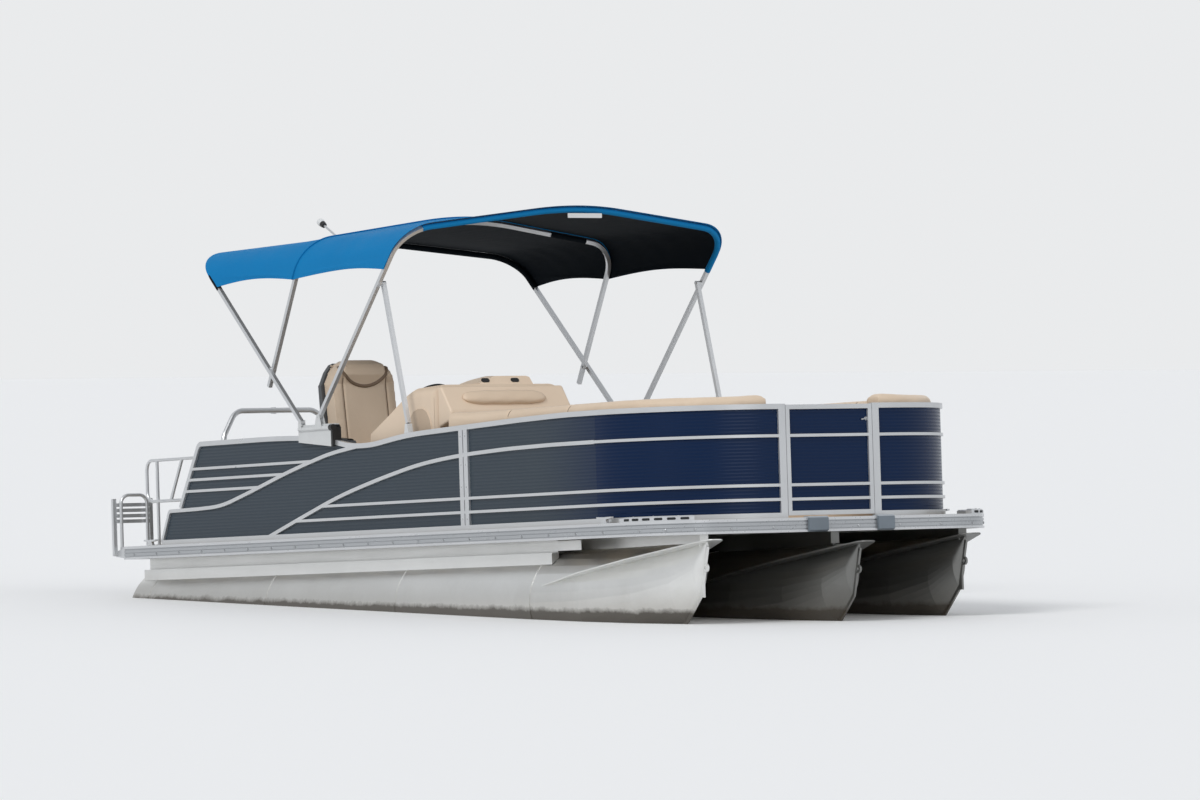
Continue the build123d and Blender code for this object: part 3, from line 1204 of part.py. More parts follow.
with BuildPart() as tow_bar:
    add_tube(
        [tow_point(*place) for place in
         ((-TOW_HALF_FOOT, 0), (-440, 750), (-320, tow_length),
          (320, tow_length), (440, 750), (TOW_HALF_FOOT, 0))],
        TOW_TUBE_R, TOW_BEND,
    )
    for sign in (-1, 1):
        brace_foot = (TOW_BRACE_FOOT, sign * TOW_BRACE_Y, DECK_TOP + TOW_PLATE_THICK / 2)
        add_tube([tow_point(sign * TOW_BRACE_Y, TOW_BRACE_HIGH), brace_foot], TOW_BRACE_R)
        for x, y in ((TOW_FOOT[0], TOW_HALF_FOOT), (TOW_BRACE_FOOT, TOW_BRACE_Y)):
            with BuildSketch(Plane.XY.offset(DECK_TOP)):
                with Locations((x, sign * y)):
                    Rectangle(TOW_FOOT_PLATE, TOW_FOOT_PLATE)
            extrude(amount=TOW_PLATE_THICK)
    # tow eye at the middle of the top
    with BuildSketch(Plane.XZ.offset(-12)):
        with Locations((TOW_HEAD[0] - TOW_TUBE_R - 14, TOW_HEAD[1])):
            Rectangle(36, 44)
            Circle(9, mode=Mode.SUBTRACT)
    extrude(amount=24)
    # feet cut level with the deck
    with BuildSketch(Plane.XY.offset(DECK_TOP)):
        with Locations(TOW_FOOT):
            Rectangle(800, 2 * HALF_BEAM)
    extrude(amount=-80, mode=Mode.SUBTRACT)
tow_bar.part.label = "tow_bar"
export_step(tow_bar.part, "parts/tow_bar.step")

# Boarding handrail along the starboard side of the stern deck
HAND_R = 11
HAND_Y = -1160
HAND_TOP = 1065
HAND_MIDDLE = 788
HAND_AFT = -3157
HAND_POST = -3015
HAND_END = STERN_FENCE_X - BAR / 2 - SEAT_GAP
with BuildPart() as stern_handrail:
    add_tube(
        [(HAND_END, HAND_Y, HAND_TOP), (HAND_AFT, HAND_Y, HAND_TOP), (HAND_AFT, HAND_Y, HAND_MIDDLE),
         (HAND_END, HAND_Y, HAND_MIDDLE)],
        HAND_R, 70,
    )
    add_tube([(HAND_POST, HAND_Y, DECK_TOP), (HAND_POST, HAND_Y, HAND_TOP)], HAND_R)
    add_tube([(-2673, HAND_Y, HAND_TOP), (-2838, HAND_Y, HAND_MIDDLE)], HAND_R)
    with BuildSketch(Plane.XY.offset(DECK_TOP)):
        with Locations((HAND_POST, HAND_Y)):
            Circle(34)
    extrude(amount=6)
stern_handrail.part.label = "stern_handrail"
export_step(stern_handrail.part, "parts/stern_handrail.step")

# Boarding hoop on the stern rail, and the lugs the ladder turns on
HOOP_X = -3368
HOOP_Y = (-1250, -1048)
HOOP_TOP = 841
HOOP_FOOT = 420
HOOP_R = 12
LADDER_PIVOT = (-3405, 440)
LADDER_Y = (-1285, -1003)
LADDER_TUBE = 26
LADDER_LUG = 6
with BuildPart() as ladder_hoop:
    add_tube(
        [(HOOP_X, HOOP_Y[0], HOOP_FOOT), (HOOP_X, HOOP_Y[0], HOOP_TOP), (HOOP_X, HOOP_Y[1], HOOP_TOP),
         (HOOP_X, HOOP_Y[1], HOOP_FOOT)],
        HOOP_R, 60,
    )
    for y in HOOP_Y:
        for z in (RAIL_BOTTOM + 30, DECK_TOP - 12):
            with BuildSketch(Plane.YZ.offset(DECK_STERN)):
                with Locations((y, z)):
                    Rectangle(30, 20)
            extrude(amount=HOOP_X - DECK_STERN)
    for y, inward in ((LADDER_Y[0], 1), (LADDER_Y[1], -1)):
        lug_y = y + inward * (LADDER_TUBE / 2 + EAR_GAP + LADDER_LUG / 2)
        with BuildSketch(Plane.XZ.offset(-lug_y)):
            with BuildLine():
                Polyline(
                    (DECK_STERN, RAIL_BOTTOM + 8), (DECK_STERN, DECK_TOP - 8), (LADDER_PIVOT[0] - 16, 458),
                    (LADDER_PIVOT[0] - 16, 424), close=True,
                )
            make_face()
        extrude(amount=LADDER_LUG / 2, both=True)
        with BuildSketch(Plane.XZ.offset(-lug_y)):
            with Locations(LADDER_PIVOT):
                Circle(PIN_R)
        extrude(amount=inward * (LADDER_TUBE + LADDER_LUG))
ladder_hoop.part.label = "ladder_hoop"
export_step(ladder_hoop.part, "parts/ladder_hoop.step")

# Boarding ladder, folded up behind the hoop with its rungs drawn together
LADDER_TOP = 817
RUNG_FIRST = 664
RUNG_PITCH = 37
RUNG_COUNT = 4
RUNG_HIGH = 24
with BuildPart() as ladder:
    for y in LADDER_Y:
        with BuildSketch(Plane.XZ.offset(-y)):
            with Locations((LADDER_PIVOT[0], (LADDER_PIVOT[1] + LADDER_TOP) / 2)):
                Rectangle(LADDER_TUBE, LADDER_TOP - LADDER_PIVOT[1])
            with Locations(LADDER_PIVOT):
                Circle(LADDER_TUBE / 2)
                Circle(PIN_R + PIN_PLAY, mode=Mode.SUBTRACT)
        extrude(amount=LADDER_TUBE / 2, both=True)
    for rung in range(RUNG_COUNT):
        with BuildSketch(Plane.XZ.offset(-sum(LADDER_Y) / 2)):
            with Locations((LADDER_PIVOT[0] - 3, RUNG_FIRST + rung * RUNG_PITCH)):
                Rectangle(30, RUNG_HIGH)
        extrude(amount=(LADDER_Y[1] - LADDER_Y[0]) / 2, both=True)
ladder.part.label = "ladder"
export_step(ladder.part, "parts/ladder.step")

# Outboard: clamp bracket on the transom with its tilt tube
TILT_AT = (-3590, 400)
TILT_R = 12
BRACKET_Y = (64, 100)
BRACKET_SIDE = (
    (TRANSOM_X, 384), (TRANSOM_X, 60), (TRANSOM_X - 26, 60), (TRANSOM_X - 52, 300), (TRANSOM_X - 74, 384),
    (TRANSOM_X - 70, 420), (TRANSOM_X - 30, 424),
)
with BuildPart() as motor_bracket:
    for sign in (-1, 1):
        with BuildSketch(Plane.XZ.offset(-sign * sum(BRACKET_Y) / 2)):
            with BuildLine():
                Polyline(*[(x - SEAT_GAP, z) for x, z in BRACKET_SIDE], close=True)
            make_face()
        extrude(amount=(BRACKET_Y[1] - BRACKET_Y[0]) / 2, both=True)
    with BuildSketch(Plane.XZ):
        with Locations(TILT_AT):
            Circle(TILT_R)
    extrude(amount=BRACKET_Y[1] + 10, both=True)
motor_bracket.part.label = "motor_bracket"
export_step(motor_bracket.part, "parts/motor_bracket.step")

# Swivel: the block that tilts on the tube and carries the steering pin
SWIVEL_HALF = 60
STEER_X = -3690
STEER_Z = (90, 420)
STEER_BORE = 18
with BuildPart() as motor_swivel:
    with BuildSketch(Plane.XZ):
        with BuildLine():
            Polyline(
                (TILT_AT[0] + 20, 376), (TILT_AT[0] + 20, 420),
                (STEER_X - 34, STEER_Z[1]), (STEER_X - 34, STEER_Z[0]),
                (STEER_X + 34, STEER_Z[0]), (STEER_X + 48, 330), close=True,
            )
        make_face()
        with Locations(TILT_AT):
            Circle(TILT_R + PIN_PLAY, mode=Mode.SUBTRACT)
    extrude(amount=SWIVEL_HALF, both=True)
    with BuildSketch(Plane.XY.offset(STEER_Z[0])):
        with Locations((STEER_X, 0)):
            Circle(STEER_BORE)
    extrude(amount=STEER_Z[1] - STEER_Z[0], mode=Mode.SUBTRACT)
motor_swivel.part.label = "motor_swivel"
export_step(motor_swivel.part, "parts/motor_swivel.step")

# Motor: steering pin and arms, leg with its gearcase and plates
LEG_SIDE = (
    (-3760, 520), (-3980, 520), (-3960, 300), (-3900, 90), (-3880, -240), (-4010, -262), (-4010, -290),
    (-3890, -300), (-3900, -418), (-4000, -424), (-4024, -480), (-4000, -536), (-3880, -560), (-3830, -720),
    (-3760, -690), (-3770, -560), (-3690, -520), (-3650, -480), (-3690, -430), (-3760, -404), (-3740, -280),
    (-3760, 60), (-3764, 440),
)
LEG_HALF = 46
ARM_HALF = 40
CAVITATION_HALF = 105
with BuildPart() as motor:
    with BuildSketch(Plane.XZ) as leg_side:
        with BuildLine():
            Polyline(*LEG_SIDE, close=True)
        make_face()
    extrude(amount=LEG_HALF, both=True)
    for z in (STEER_Z[1] + EAR_GAP, STEER_Z[0] - 40 - EAR_GAP):
        with BuildSketch(Plane.XY.offset(z)):
            with Locations(((STEER_X - 3800) / 2, 0)):
                Rectangle(STEER_X - -3800 + 60, 2 * ARM_HALF)
        extrude(amount=40)
    with BuildSketch(Plane.XY.offset(STEER_Z[0] - 10)):
        with Locations((STEER_X, 0)):
            Circle(STEER_BORE - PIN_PLAY)
    extrude(amount=STEER_Z[1] - STEER_Z[0] + 20)
    with BuildSketch(Plane.XY.offset(-292)) as plate:
        with Locations((-3890, 0)):
            Rectangle(300, 2 * CAVITATION_HALF)
        fillet(plate.vertices().group_by(Axis.X)[-1], 60)
    extrude(amount=10)
motor.part.label = "motor"
export_step(motor.part, "parts/motor.step")

# Cowl over the engine
# Columns: Z, fore X, aft X, half width
COWL_LEVELS = (
    (520.3, -3640, -4010, 150),
    (640, -3610, -4070, 196),
    (900, -3612, -4096, 200),
    (1020, -3660, -4040, 160),
    (1052, -3740, -3980, 110),
)
with BuildPart() as motor_cowl:
    for z, fore, aft, half in COWL_LEVELS:
        with BuildSketch(Plane.XY.offset(z)) as level:
            with Locations(((fore + aft) / 2, 0)):
                Rectangle(fore - aft, 2 * half)
            chamfer(level.vertices(), half * 0.35)
    loft(ruled=True)
motor_cowl.part.label = "motor_cowl"
export_step(motor_cowl.part, "parts/motor_cowl.step")

# Propeller behind the gearcase
PROP_AT = (-4024.4, -480)
PROP_HUB_R = 50
PROP_HUB_LENGTH = 90
BLADE_R = 165
BLADE_THICK = 7
BLADE_PITCH = 28
with BuildPart() as propeller:
    with BuildSketch(Plane.YZ.offset(PROP_AT[0])):
        with Locations((0, PROP_AT[1])):
            Circle(PROP_HUB_R)
    extrude(amount=-PROP_HUB_LENGTH)
    chamfer(propeller.edges().group_by(Axis.X)[0], 14)
    for blade in range(3):
        turn = radians(90 + 120 * blade)
        out = Vector(0, cos(turn), sin(turn))
        middle = Vector(PROP_AT[0] - PROP_HUB_LENGTH / 2, 0, PROP_AT[1])
        face = out.cross(Vector(1, 0, 0)) * cos(radians(BLADE_PITCH)) + Vector(1, 0, 0) * sin(radians(BLADE_PITCH))
        with BuildSketch(Plane(origin=middle, x_dir=out, z_dir=face)):
            with BuildLine():
                Polyline(
                    (30, -24), (80, -56), (135, -62), (BLADE_R - 4, -30),
                    (BLADE_R, 10), (140, 46), (90, 44), (30, 26),
                    close=True,
                )
            make_face()
        extrude(amount=BLADE_THICK / 2, both=True)
propeller.part.label = "propeller"
export_step(propeller.part, "parts/propeller.step")
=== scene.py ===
import math

import bmesh
import bpy
from mathutils import Matrix, Vector
from mathutils.bvhtree import BVHTree


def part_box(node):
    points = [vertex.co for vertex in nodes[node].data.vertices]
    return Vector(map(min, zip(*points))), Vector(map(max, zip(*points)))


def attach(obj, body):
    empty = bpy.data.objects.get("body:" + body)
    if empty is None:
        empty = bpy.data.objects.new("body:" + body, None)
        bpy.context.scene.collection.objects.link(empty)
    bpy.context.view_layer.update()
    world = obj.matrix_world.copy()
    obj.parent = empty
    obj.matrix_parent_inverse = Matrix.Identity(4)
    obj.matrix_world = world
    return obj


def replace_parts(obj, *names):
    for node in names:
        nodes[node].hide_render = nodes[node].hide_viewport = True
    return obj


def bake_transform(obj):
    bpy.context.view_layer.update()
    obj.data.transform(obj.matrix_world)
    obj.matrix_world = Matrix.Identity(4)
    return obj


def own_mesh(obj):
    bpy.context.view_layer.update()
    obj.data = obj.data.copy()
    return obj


scene = bpy.context.scene
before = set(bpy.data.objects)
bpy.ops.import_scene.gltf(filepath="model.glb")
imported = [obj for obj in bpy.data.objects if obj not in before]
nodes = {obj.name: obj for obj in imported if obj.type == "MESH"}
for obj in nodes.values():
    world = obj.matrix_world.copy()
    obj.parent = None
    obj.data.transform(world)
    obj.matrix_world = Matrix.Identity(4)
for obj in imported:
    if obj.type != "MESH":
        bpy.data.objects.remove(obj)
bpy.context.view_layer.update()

# The view: a long lens from low over the water, off the starboard bow.
# The boat floats a little bow-high, so its level deck leans against the water.
EYE = (38.204, -24.506, 0.008)
YAW = 0.992
PITCH = 0.029
ROLL = -0.031
TRIM = math.radians(2.53)
LENS_MM = 210
SENSOR_MM = 36
FARTHEST = 400


def set_down(name, data):
    """An object of that data, put in the scene."""
    thing = bpy.data.objects.new(name, data)
    scene.collection.objects.link(thing)
    return thing


lens = bpy.data.cameras.new("view")
lens.lens = LENS_MM
lens.sensor_width = SENSOR_MM
lens.clip_end = FARTHEST
camera = set_down("view", lens)
camera.matrix_world = (Matrix.Translation(EYE) @ Matrix.Rotation(YAW, 4, "Z")
                       @ Matrix.Rotation(math.pi / 2 + PITCH, 4, "X") @ Matrix.Rotation(ROLL, 4, "Z"))
scene.camera = camera
scene.view_settings.view_transform = "Standard"


# The studio: a pale floor at the water's height, a pale sky all round and three soft lamps.
# The floor leans with the boat's trim, so it cuts the tubes where the water does.
FLOOR_SIZE = 600
FLOOR_PALE = (0.93, 0.93, 0.93, 1)
SKY_SEEN = (0.82, 0.83, 0.84, 1)
SKY_LIGHT = (0.93, 0.96, 1.0, 1)
SKY_STRENGTH = 0.56
# Columns: name, where it shines from, how wide its disc looks in degrees, watts a square metre
LAMPS = (
    ("key_lamp", (5, -13, 12), 22, 1.15),
    ("bow_lamp", (18, 3, 9), 40, 0.45),
    ("stern_lamp", (-14, 8, 10), 50, 0.30),
)


def place(tree, kind, inputs=None, **settings):
    """A shader node of that kind, with its settings and what goes into its sockets."""
    node = tree.nodes.new("ShaderNode" + kind)
    for key, value in settings.items():
        setattr(node, key, value)
    for key, value in (inputs or {}).items():
        if isinstance(value, bpy.types.NodeSocket):
            tree.links.new(value, node.inputs[key])
        else:
            node.inputs[key].default_value = value
    return node


def new_finish(name, **sockets):
    """A material with one Principled shader, whose plain values are set on its own sockets."""
    finish = bpy.data.materials.new(name)
    finish.use_nodes = True
    shader = finish.node_tree.nodes["Principled BSDF"]
    for key, value in sockets.items():
        shader.inputs[key.replace("_", " ")].default_value = value
    return finish, finish.node_tree, shader


floor_mesh = bpy.data.meshes.new("studio_floor")
half = FLOOR_SIZE / 2
floor_mesh.from_pydata(
    [(x, y, -math.tan(TRIM) * x) for x, y in ((-half, -half), (half, -half), (half, half), (-half, half))],
    [], [(0, 1, 2, 3)],
)
floor_mesh.materials.append(new_finish("floor_finish", Base_Color=FLOOR_PALE, Roughness=0.9)[0])
set_down("studio_floor", floor_mesh)

world = bpy.data.worlds.new("sky")
scene.world = world
world.use_nodes = True
tree = world.node_tree
seen = place(tree, "Background", {"Color": SKY_SEEN, "Strength": 1.0})
lit = tree.nodes["Background"]
lit.inputs["Color"].default_value = SKY_LIGHT
lit.inputs["Strength"].default_value = SKY_STRENGTH
ray = place(tree, "LightPath")
straight_on = place(tree, "Math", {0: ray.outputs["Is Camera Ray"], 1: ray.outputs["Is Transmission Ray"]},
                    operation="MAXIMUM")
which = place(tree, "MixShader", {0: straight_on.outputs[0], 1: lit.outputs[0], 2: seen.outputs[0]})
tree.links.new(which.outputs[0], tree.nodes["World Output"].inputs["Surface"])

for name, spot, disc, watts in LAMPS:
    lamp = bpy.data.lights.new(name, "SUN")
    lamp.angle = math.radians(disc)
    lamp.energy = watts
    lamp_holder = set_down(name, lamp)
    lamp_holder.location = spot
    lamp_holder.rotation_euler = (-Vector(spot)).to_track_quat("-Z", "Y").to_euler()


# The buoyancy tubes: rolled and welded marine aluminium, left bare, under risers, cross members and a
# transom pod of the same metal. A bead of weld runs round each tube where its sheets join, and the
# water has left a brown stain along it.
METAL = (0.93, 0.93, 0.91, 1)
METAL_DULL = (0.74, 0.74, 0.72, 1)
FILM = (0.24, 0.20, 0.14, 1)
# a darker copy of the metal, its dullness and its film, for what lies under the deck: painted shade
METAL_IN_PAINTED_SHADE = (0.26, 0.26, 0.25, 1)
DULL_IN_PAINTED_SHADE = (0.19, 0.19, 0.18, 1)
FILM_IN_PAINTED_SHADE = (0.10, 0.085, 0.06, 1)
STAIN = (0.040, 0.030, 0.018, 1)
STAIN_STERN = 0.012
STAIN_BOW = 0.075
WATERLINE_HALF = 3.2
TUBE_R = 0.3175
# Columns: centre Y, centre Z, how far its nose runs ahead
TUBE_LINES = ((-0.961, 0.0225, 0.0), (0.0, -0.0105, 0.226), (0.961, 0.0225, 0.0))
TUBE_SEAMS = (-3.02, -1.44, 0.20, 1.79)
WELD_R = 0.0035
WELD_STEPS = 64
WEB = ((1.908, 0.338), (2.172, 0.338), (2.172, 0.3985), (1.908, 0.3985))
WEB_Y = 1.128
WEB_THICK = 0.004


def new_group(name, inputs, outputs):
    """An empty shader node group with its inputs' plain values and the names of its masks."""
    group = bpy.data.node_groups.new(name, "ShaderNodeTree")
    for socket, value in inputs.items():
        made = group.interface.new_socket(name=socket, in_out="INPUT", socket_type="NodeSocketFloat")
        made.default_value = value
    for socket in outputs:
        group.interface.new_socket(name=socket, in_out="OUTPUT", socket_type="NodeSocketFloat")
    return group, group.nodes.new("NodeGroupInput").outputs, group.nodes.new("NodeGroupOutput").inputs


def surface_spot(tree):
    """Where a point of the surface lies, in the piece's own axes."""
    return place(tree, "TexCoord").outputs["Object"]


def along(tree, axis):
    """How far along X, Y or Z a point of the surface lies."""
    return place(tree, "SeparateXYZ", {0: surface_spot(tree)}).outputs[axis]


def noise(tree, spot, scale, detail=2.0, **more):
    """Cloudy noise over the surface, from 0 to 1."""
    return place(tree, "TexNoise", {"Vector": spot, "Scale": scale, "Detail": detail, **more}).outputs["Fac"]


def figure(tree, operation, *values, **settings):
    """One step of arithmetic on values over the surface."""
    return place(tree, "Math", dict(enumerate(values)), operation=operation, **settings).outputs[0]


def ranged(tree, value, start, end, low, high, **settings):
    """A value that runs from start to end, laid out from low to high."""
    sockets = {"Value": value, "From Min": start, "From Max": end, "To Min": low, "To Max": high}
    return place(tree, "MapRange", sockets, **settings).outputs[0]


def mixed(tree, share, first, second):
    """A colour between two others, all of the second where the share is 1."""
    return place(tree, "Mix", {"Factor": share, "A": first, "B": second}, data_type="RGBA").outputs["Result"]


def raised(tree, height, strength, distance, **under):
    """The surface's normal where a height lifts it."""
    return place(tree, "Bump", {"Height": height, "Strength": strength, "Distance": distance, **under}).outputs[0]


def feed(shader, **sockets):
    """Links what changes over the surface to the shader."""
    for key, value in sockets.items():
        shader.id_data.links.new(value, shader.inputs[key.replace("_", " ")])


# rolling grain: fine streaks along the boat, and slow cloudy dullness
grain, given, masks = new_group("rolled_grain", {"Fine": 60.0, "Cloud": 1.5}, ("Streak", "Dull"))
spot = surface_spot(grain)
stretched = place(grain, "Mapping", {"Vector": spot, "Scale": (0.05, 1.0, 1.0)}).outputs[0]
grain.links.new(noise(grain, stretched, given["Fine"], 6.0), masks["Streak"])
grain.links.new(noise(grain, spot, given["Cloud"], 5.0), masks["Dull"])

# the water's mark: 1 in the stain, falling to 0 above it, and a thin film higher up
mark, given, masks = new_group("water_mark", {"Stern": STAIN_STERN, "Bow": STAIN_BOW}, ("Stained", "Film"))
over_water = figure(mark, "MULTIPLY_ADD", along(mark, "X"), math.tan(TRIM), along(mark, "Z"))
climb = ranged(mark, along(mark, "X"), -WATERLINE_HALF, WATERLINE_HALF, given["Stern"], given["Bow"])
over_stain = figure(mark, "SUBTRACT", over_water, climb)
ragged = noise(mark, surface_spot(mark), 9.0, 7.0, Roughness=0.7)
torn = figure(mark, "MULTIPLY_ADD", ragged, -0.07, over_stain)
mark.links.new(ranged(mark, torn, -0.045, -0.015, 0.9, 0.0), masks["Stained"])
mark.links.new(ranged(mark, torn, -0.03, 0.13, 0.34, 0.0), masks["Film"])


def bare_tube(name, pale, dull, film):
    """Rolled aluminium with the water's mark on it, in the colours given; the darker set is painted shade."""
    metal, tree, shader = new_finish(name)
    rolled = place(tree, "Group", {"Fine": 45.0, "Cloud": 2.2}, node_tree=grain).outputs
    water = place(tree, "Group", node_tree=mark).outputs
    filmed = mixed(tree, water["Film"], mixed(tree, rolled["Dull"], dull, pale), film)
    feed(shader, Base_Color=mixed(tree, water["Stained"], filmed, STAIN),
         Roughness=ranged(tree, rolled["Streak"], 0, 1, 0.24, 0.46),
         Metallic=figure(tree, "SUBTRACT", 0.8, water["Stained"], use_clamp=True),
         Normal=raised(tree, rolled["Dull"], 0.12, 0.02))
    return metal


def soften(piece, width):
    """Rounds the sharp edges of a piece."""
    edge = piece.modifiers.new("soft_edge", "BEVEL")
    edge.width = width
    edge.segments = 2
    edge.limit_method = "ANGLE"
    edge.harden_normals = True


def dress(finish, *names, edges=0.0):
    """Puts a finish on solids of the frame, and rounds their edges where asked."""
    for name in names:
        nodes[name].data.materials.clear()
        nodes[name].data.materials.append(finish)
        if edges:
            soften(nodes[name], edges)


tube_metal = bare_tube("tube_metal", METAL, METAL_DULL, FILM)
painted_shade_metal = bare_tube("painted_shade_metal", METAL_IN_PAINTED_SHADE, DULL_IN_PAINTED_SHADE, FILM_IN_PAINTED_SHADE)
dress(tube_metal, "tube_starboard")
dress(tube_metal, "tube_risers", "transom_pod", edges=0.002)
# the centre and port tubes and the cross members, under the deck, take the darker copy: painted shade
dress(painted_shade_metal, "tube_center", "tube_port")
dress(painted_shade_metal, "cross_members", edges=0.002)


def new_shape(name, finishes, solid, sharp):
    """An object of a mesh built by the script, smooth between its sharp edges."""
    bmesh.ops.recalc_face_normals(solid, faces=solid.faces)
    mesh = bpy.data.meshes.new(name)
    solid.to_mesh(mesh)
    solid.free()
    for finish in finishes:
        mesh.materials.append(finish)
    mesh.polygons.foreach_set("use_smooth", [True] * len(mesh.polygons))
    mesh.set_sharp_from_angle(angle=math.radians(sharp))
    return set_down(name, mesh)


def new_piece(name, body, finishes, solid, bevel=0.0, sharp=40):
    """A shape that rides a body, its edges softened where asked."""
    piece = new_shape(name, finishes, solid, sharp)
    if bevel:
        soften(piece, bevel)
    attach(piece, body)
    return piece


def full_turn(steps):
    """Cosines and sines round a full turn."""
    return [(math.cos(math.tau * step / steps), math.sin(math.tau * step / steps)) for step in range(steps)]


def skinned(solid, rings, slot=0, closed=False):
    """Adds the skin over a row of rings, capped at its ends unless the row closes on itself."""
    count = len(rings[0])
    skin = [] if closed else [solid.faces.new(rings[0][::-1]), solid.faces.new(rings[-1])]
    for ring, above in zip(rings, rings[1:] + rings[:1] if closed else rings[1:]):
        for step in range(count):
            following = (step + 1) % count
            skin.append(solid.faces.new((ring[step], ring[following], above[following], above[step])))
    for face in skin:
        face.material_index = slot


def plate(solid, outline, at, across, up, thick, slot=0):
    """Adds a plate with that outline, standing off its plane by its thickness."""
    across, up = Vector(across), Vector(up)
    out = across.cross(up).normalized() * thick
    low = [solid.verts.new(Vector(at) + across * a + up * b) for a, b in outline]
    high = [solid.verts.new(corner.co + out) for corner in low]
    skinned(solid, [low, high], slot)


def bead(solid, path, radius, closed=False, flat=1.0, steps=8):
    """Adds a round bead along a line of places, pressed flat where asked."""
    path = [Vector(here) for here in path]
    count = len(path)
    rings = []
    side = None
    for index, here in enumerate(path):
        before = path[index - 1] if index or closed else here
        after = path[(index + 1) % count] if index < count - 1 or closed else here
        run = (after - before).normalized()
        if side is None:
            side = run.orthogonal().normalized()
            if abs(run.z) < 0.9:
                side = run.cross(Vector((0, 0, 1))).normalized()
        side = (side - run * side.dot(run)).normalized()
        rise = run.cross(side)
        rings.append([solid.verts.new(here + (side * c + rise * flat * s) * radius) for c, s in full_turn(steps)])
    skinned(solid, rings, closed=closed)


# webs that close the side risers' open fore ends over the noses
webs = bmesh.new()
for sign in (-1, 1):
    plate(webs, WEB, (0, sign * WEB_Y, 0), (1, 0, 0), (0, 0, 1), WEB_THICK)
new_piece("riser_webs", "hull", [tube_metal], webs)

welds = bmesh.new()
for y, z, ahead in TUBE_LINES:
    for x in TUBE_SEAMS:
        ring = [(x + ahead * (x > 1), y + TUBE_R * c, z + TUBE_R * s) for c, s in full_turn(WELD_STEPS)]
        bead(welds, ring, WELD_R, closed=True, steps=6)
new_piece("tube_welds", "hull", [tube_metal], welds)


# The fence bars, the canopy's arches, the handrails, the ladder and the pedestals: drawn aluminium,
# satin anodised, bent and welded. The cleats and the bow's corner castings have the same finish.
BAR_PALE = (0.72, 0.73, 0.74, 1)
BAR_DULL = (0.60, 0.61, 0.62, 1)
SQUARE_BARS = ("fence_frame_starboard", "fence_frame_port", "stern_fence_frame", "bow_gate", "stern_gate",
               "bimini_rear_arch", "bimini_mid_arch", "bimini_front_arch", "bimini_struts")
ROUND_BARS = ("stern_handrail", "ladder_hoop", "ladder", "tow_bar", "chair_pedestal", "steering_column")


def drawn_metal(name, metallic, fine, cloud, dull, pale, rough_by, smooth, rough):
    """Drawn or turned metal: its colour changes slowly, and its gloss with the streaks or the dullness."""
    metal, tree, shader = new_finish(name, Metallic=metallic)
    rolled = place(tree, "Group", {"Fine": fine, "Cloud": cloud}, node_tree=grain).outputs
    base = mixed(tree, rolled["Dull"], dull, pale)
    feed(shader, Base_Color=base, Roughness=ranged(tree, rolled[rough_by], 0, 1, smooth, rough))
    return metal, tree, shader, base


bar_metal = drawn_metal("bar_metal", 0.65, 110.0, 3.0, BAR_DULL, BAR_PALE, "Dull", 0.24, 0.36)[0]
dress(bar_metal, *SQUARE_BARS, edges=0.003)
dress(bar_metal, *ROUND_BARS)
dress(bar_metal, "cleats", edges=0.006)
dress(bar_metal, "bow_castings", edges=0.004)


# The rail round the deck: drawn aluminium, with painted shade darkening the channel between its lips over and
# under. Bolts hold it to the cross members all the way round.
RAIL_FOOT = 0.402
RAIL_CHANNEL_SHADE = (0.30, 0.32, 0.34, 1)
CHANNEL_MIDDLE = RAIL_FOOT + 0.0435
CHANNEL_REACH = 0.0275
HALF_BEAM = 1.295
DECK_BOW = 3.300
DECK_STERN = -3.290
CORNER_R = 0.380
BOLT_Z = RAIL_FOOT + 0.031
BOLT_START = 0.16
BOLT_GAP = 0.305
SIDE_BOLTS = 20
CORNER_BOLTS = (18, 45, 72)
BOW_BOLTS = (0.16, 0.47, 0.78)
BOLT_SUNK = 0.002
# Columns: distance out of the face, radius
BOLT_HEAD = ((-0.002, 0.0085), (0.0015, 0.0085), (0.0022, 0.0068), (0.0052, 0.0064), (0.0062, 0.0048))
STEEL = (0.62, 0.63, 0.64, 1)
STEEL_DULL = (0.34, 0.35, 0.36, 1)
rail_metal, tree, shader, pale = drawn_metal("rail_metal", 0.6, 90.0, 2.0, BAR_DULL, BAR_PALE, "Streak", 0.2, 0.42)
# the channel between the lips is darkened: painted shade
channel_shade = figure(tree, "COMPARE", along(tree, "Z"), CHANNEL_MIDDLE, CHANNEL_REACH)
feed(shader, Base_Color=mixed(tree, figure(tree, "MULTIPLY", channel_shade, 0.55), pale, RAIL_CHANNEL_SHADE))
dress(rail_metal, "deck_rail", edges=0.0012)


def turned(solid, at, axis, profile, steps=16, slot=0):
    """Adds a turned shape: rings of (height along the axis, radius)."""
    spin = Vector(axis).to_track_quat("Z", "Y").to_matrix()
    skinned(solid, [[solid.verts.new(Vector(at) + spin @ Vector((radius * c, radius * s, height)))
                     for c, s in full_turn(steps)] for height, radius in profile], slot)


bolts = bmesh.new()
for sign in (-1, 1):
    for index in range(SIDE_BOLTS):
        x = DECK_STERN + BOLT_START + index * BOLT_GAP
        turned(bolts, (x, sign * (HALF_BEAM - BOLT_SUNK), BOLT_Z), (0, sign, 0), BOLT_HEAD, 12)
    for turn in CORNER_BOLTS:
        angle = math.radians(turn)
        out = Vector((math.sin(angle), sign * math.cos(angle), 0))
        corner = Vector((DECK_BOW - CORNER_R, sign * (HALF_BEAM - CORNER_R), BOLT_Z))
        turned(bolts, corner + out * (CORNER_R - BOLT_SUNK), out, BOLT_HEAD, 12)
    for y in BOW_BOLTS:
        turned(bolts, (DECK_BOW - BOLT_SUNK, sign * y, BOLT_Z), (1, 0, 0), BOLT_HEAD, 12)
        turned(bolts, (DECK_STERN + BOLT_SUNK, sign * (y + 0.2), BOLT_Z), (-1, 0, 0), BOLT_HEAD, 12)
bolt_steel = drawn_metal("bolt_steel", 0.9, 300.0, 30.0, STEEL_DULL, STEEL, "Streak", 0.2, 0.36)[0]
new_piece("rail_bolts", "hull", [bolt_steel], bolts)


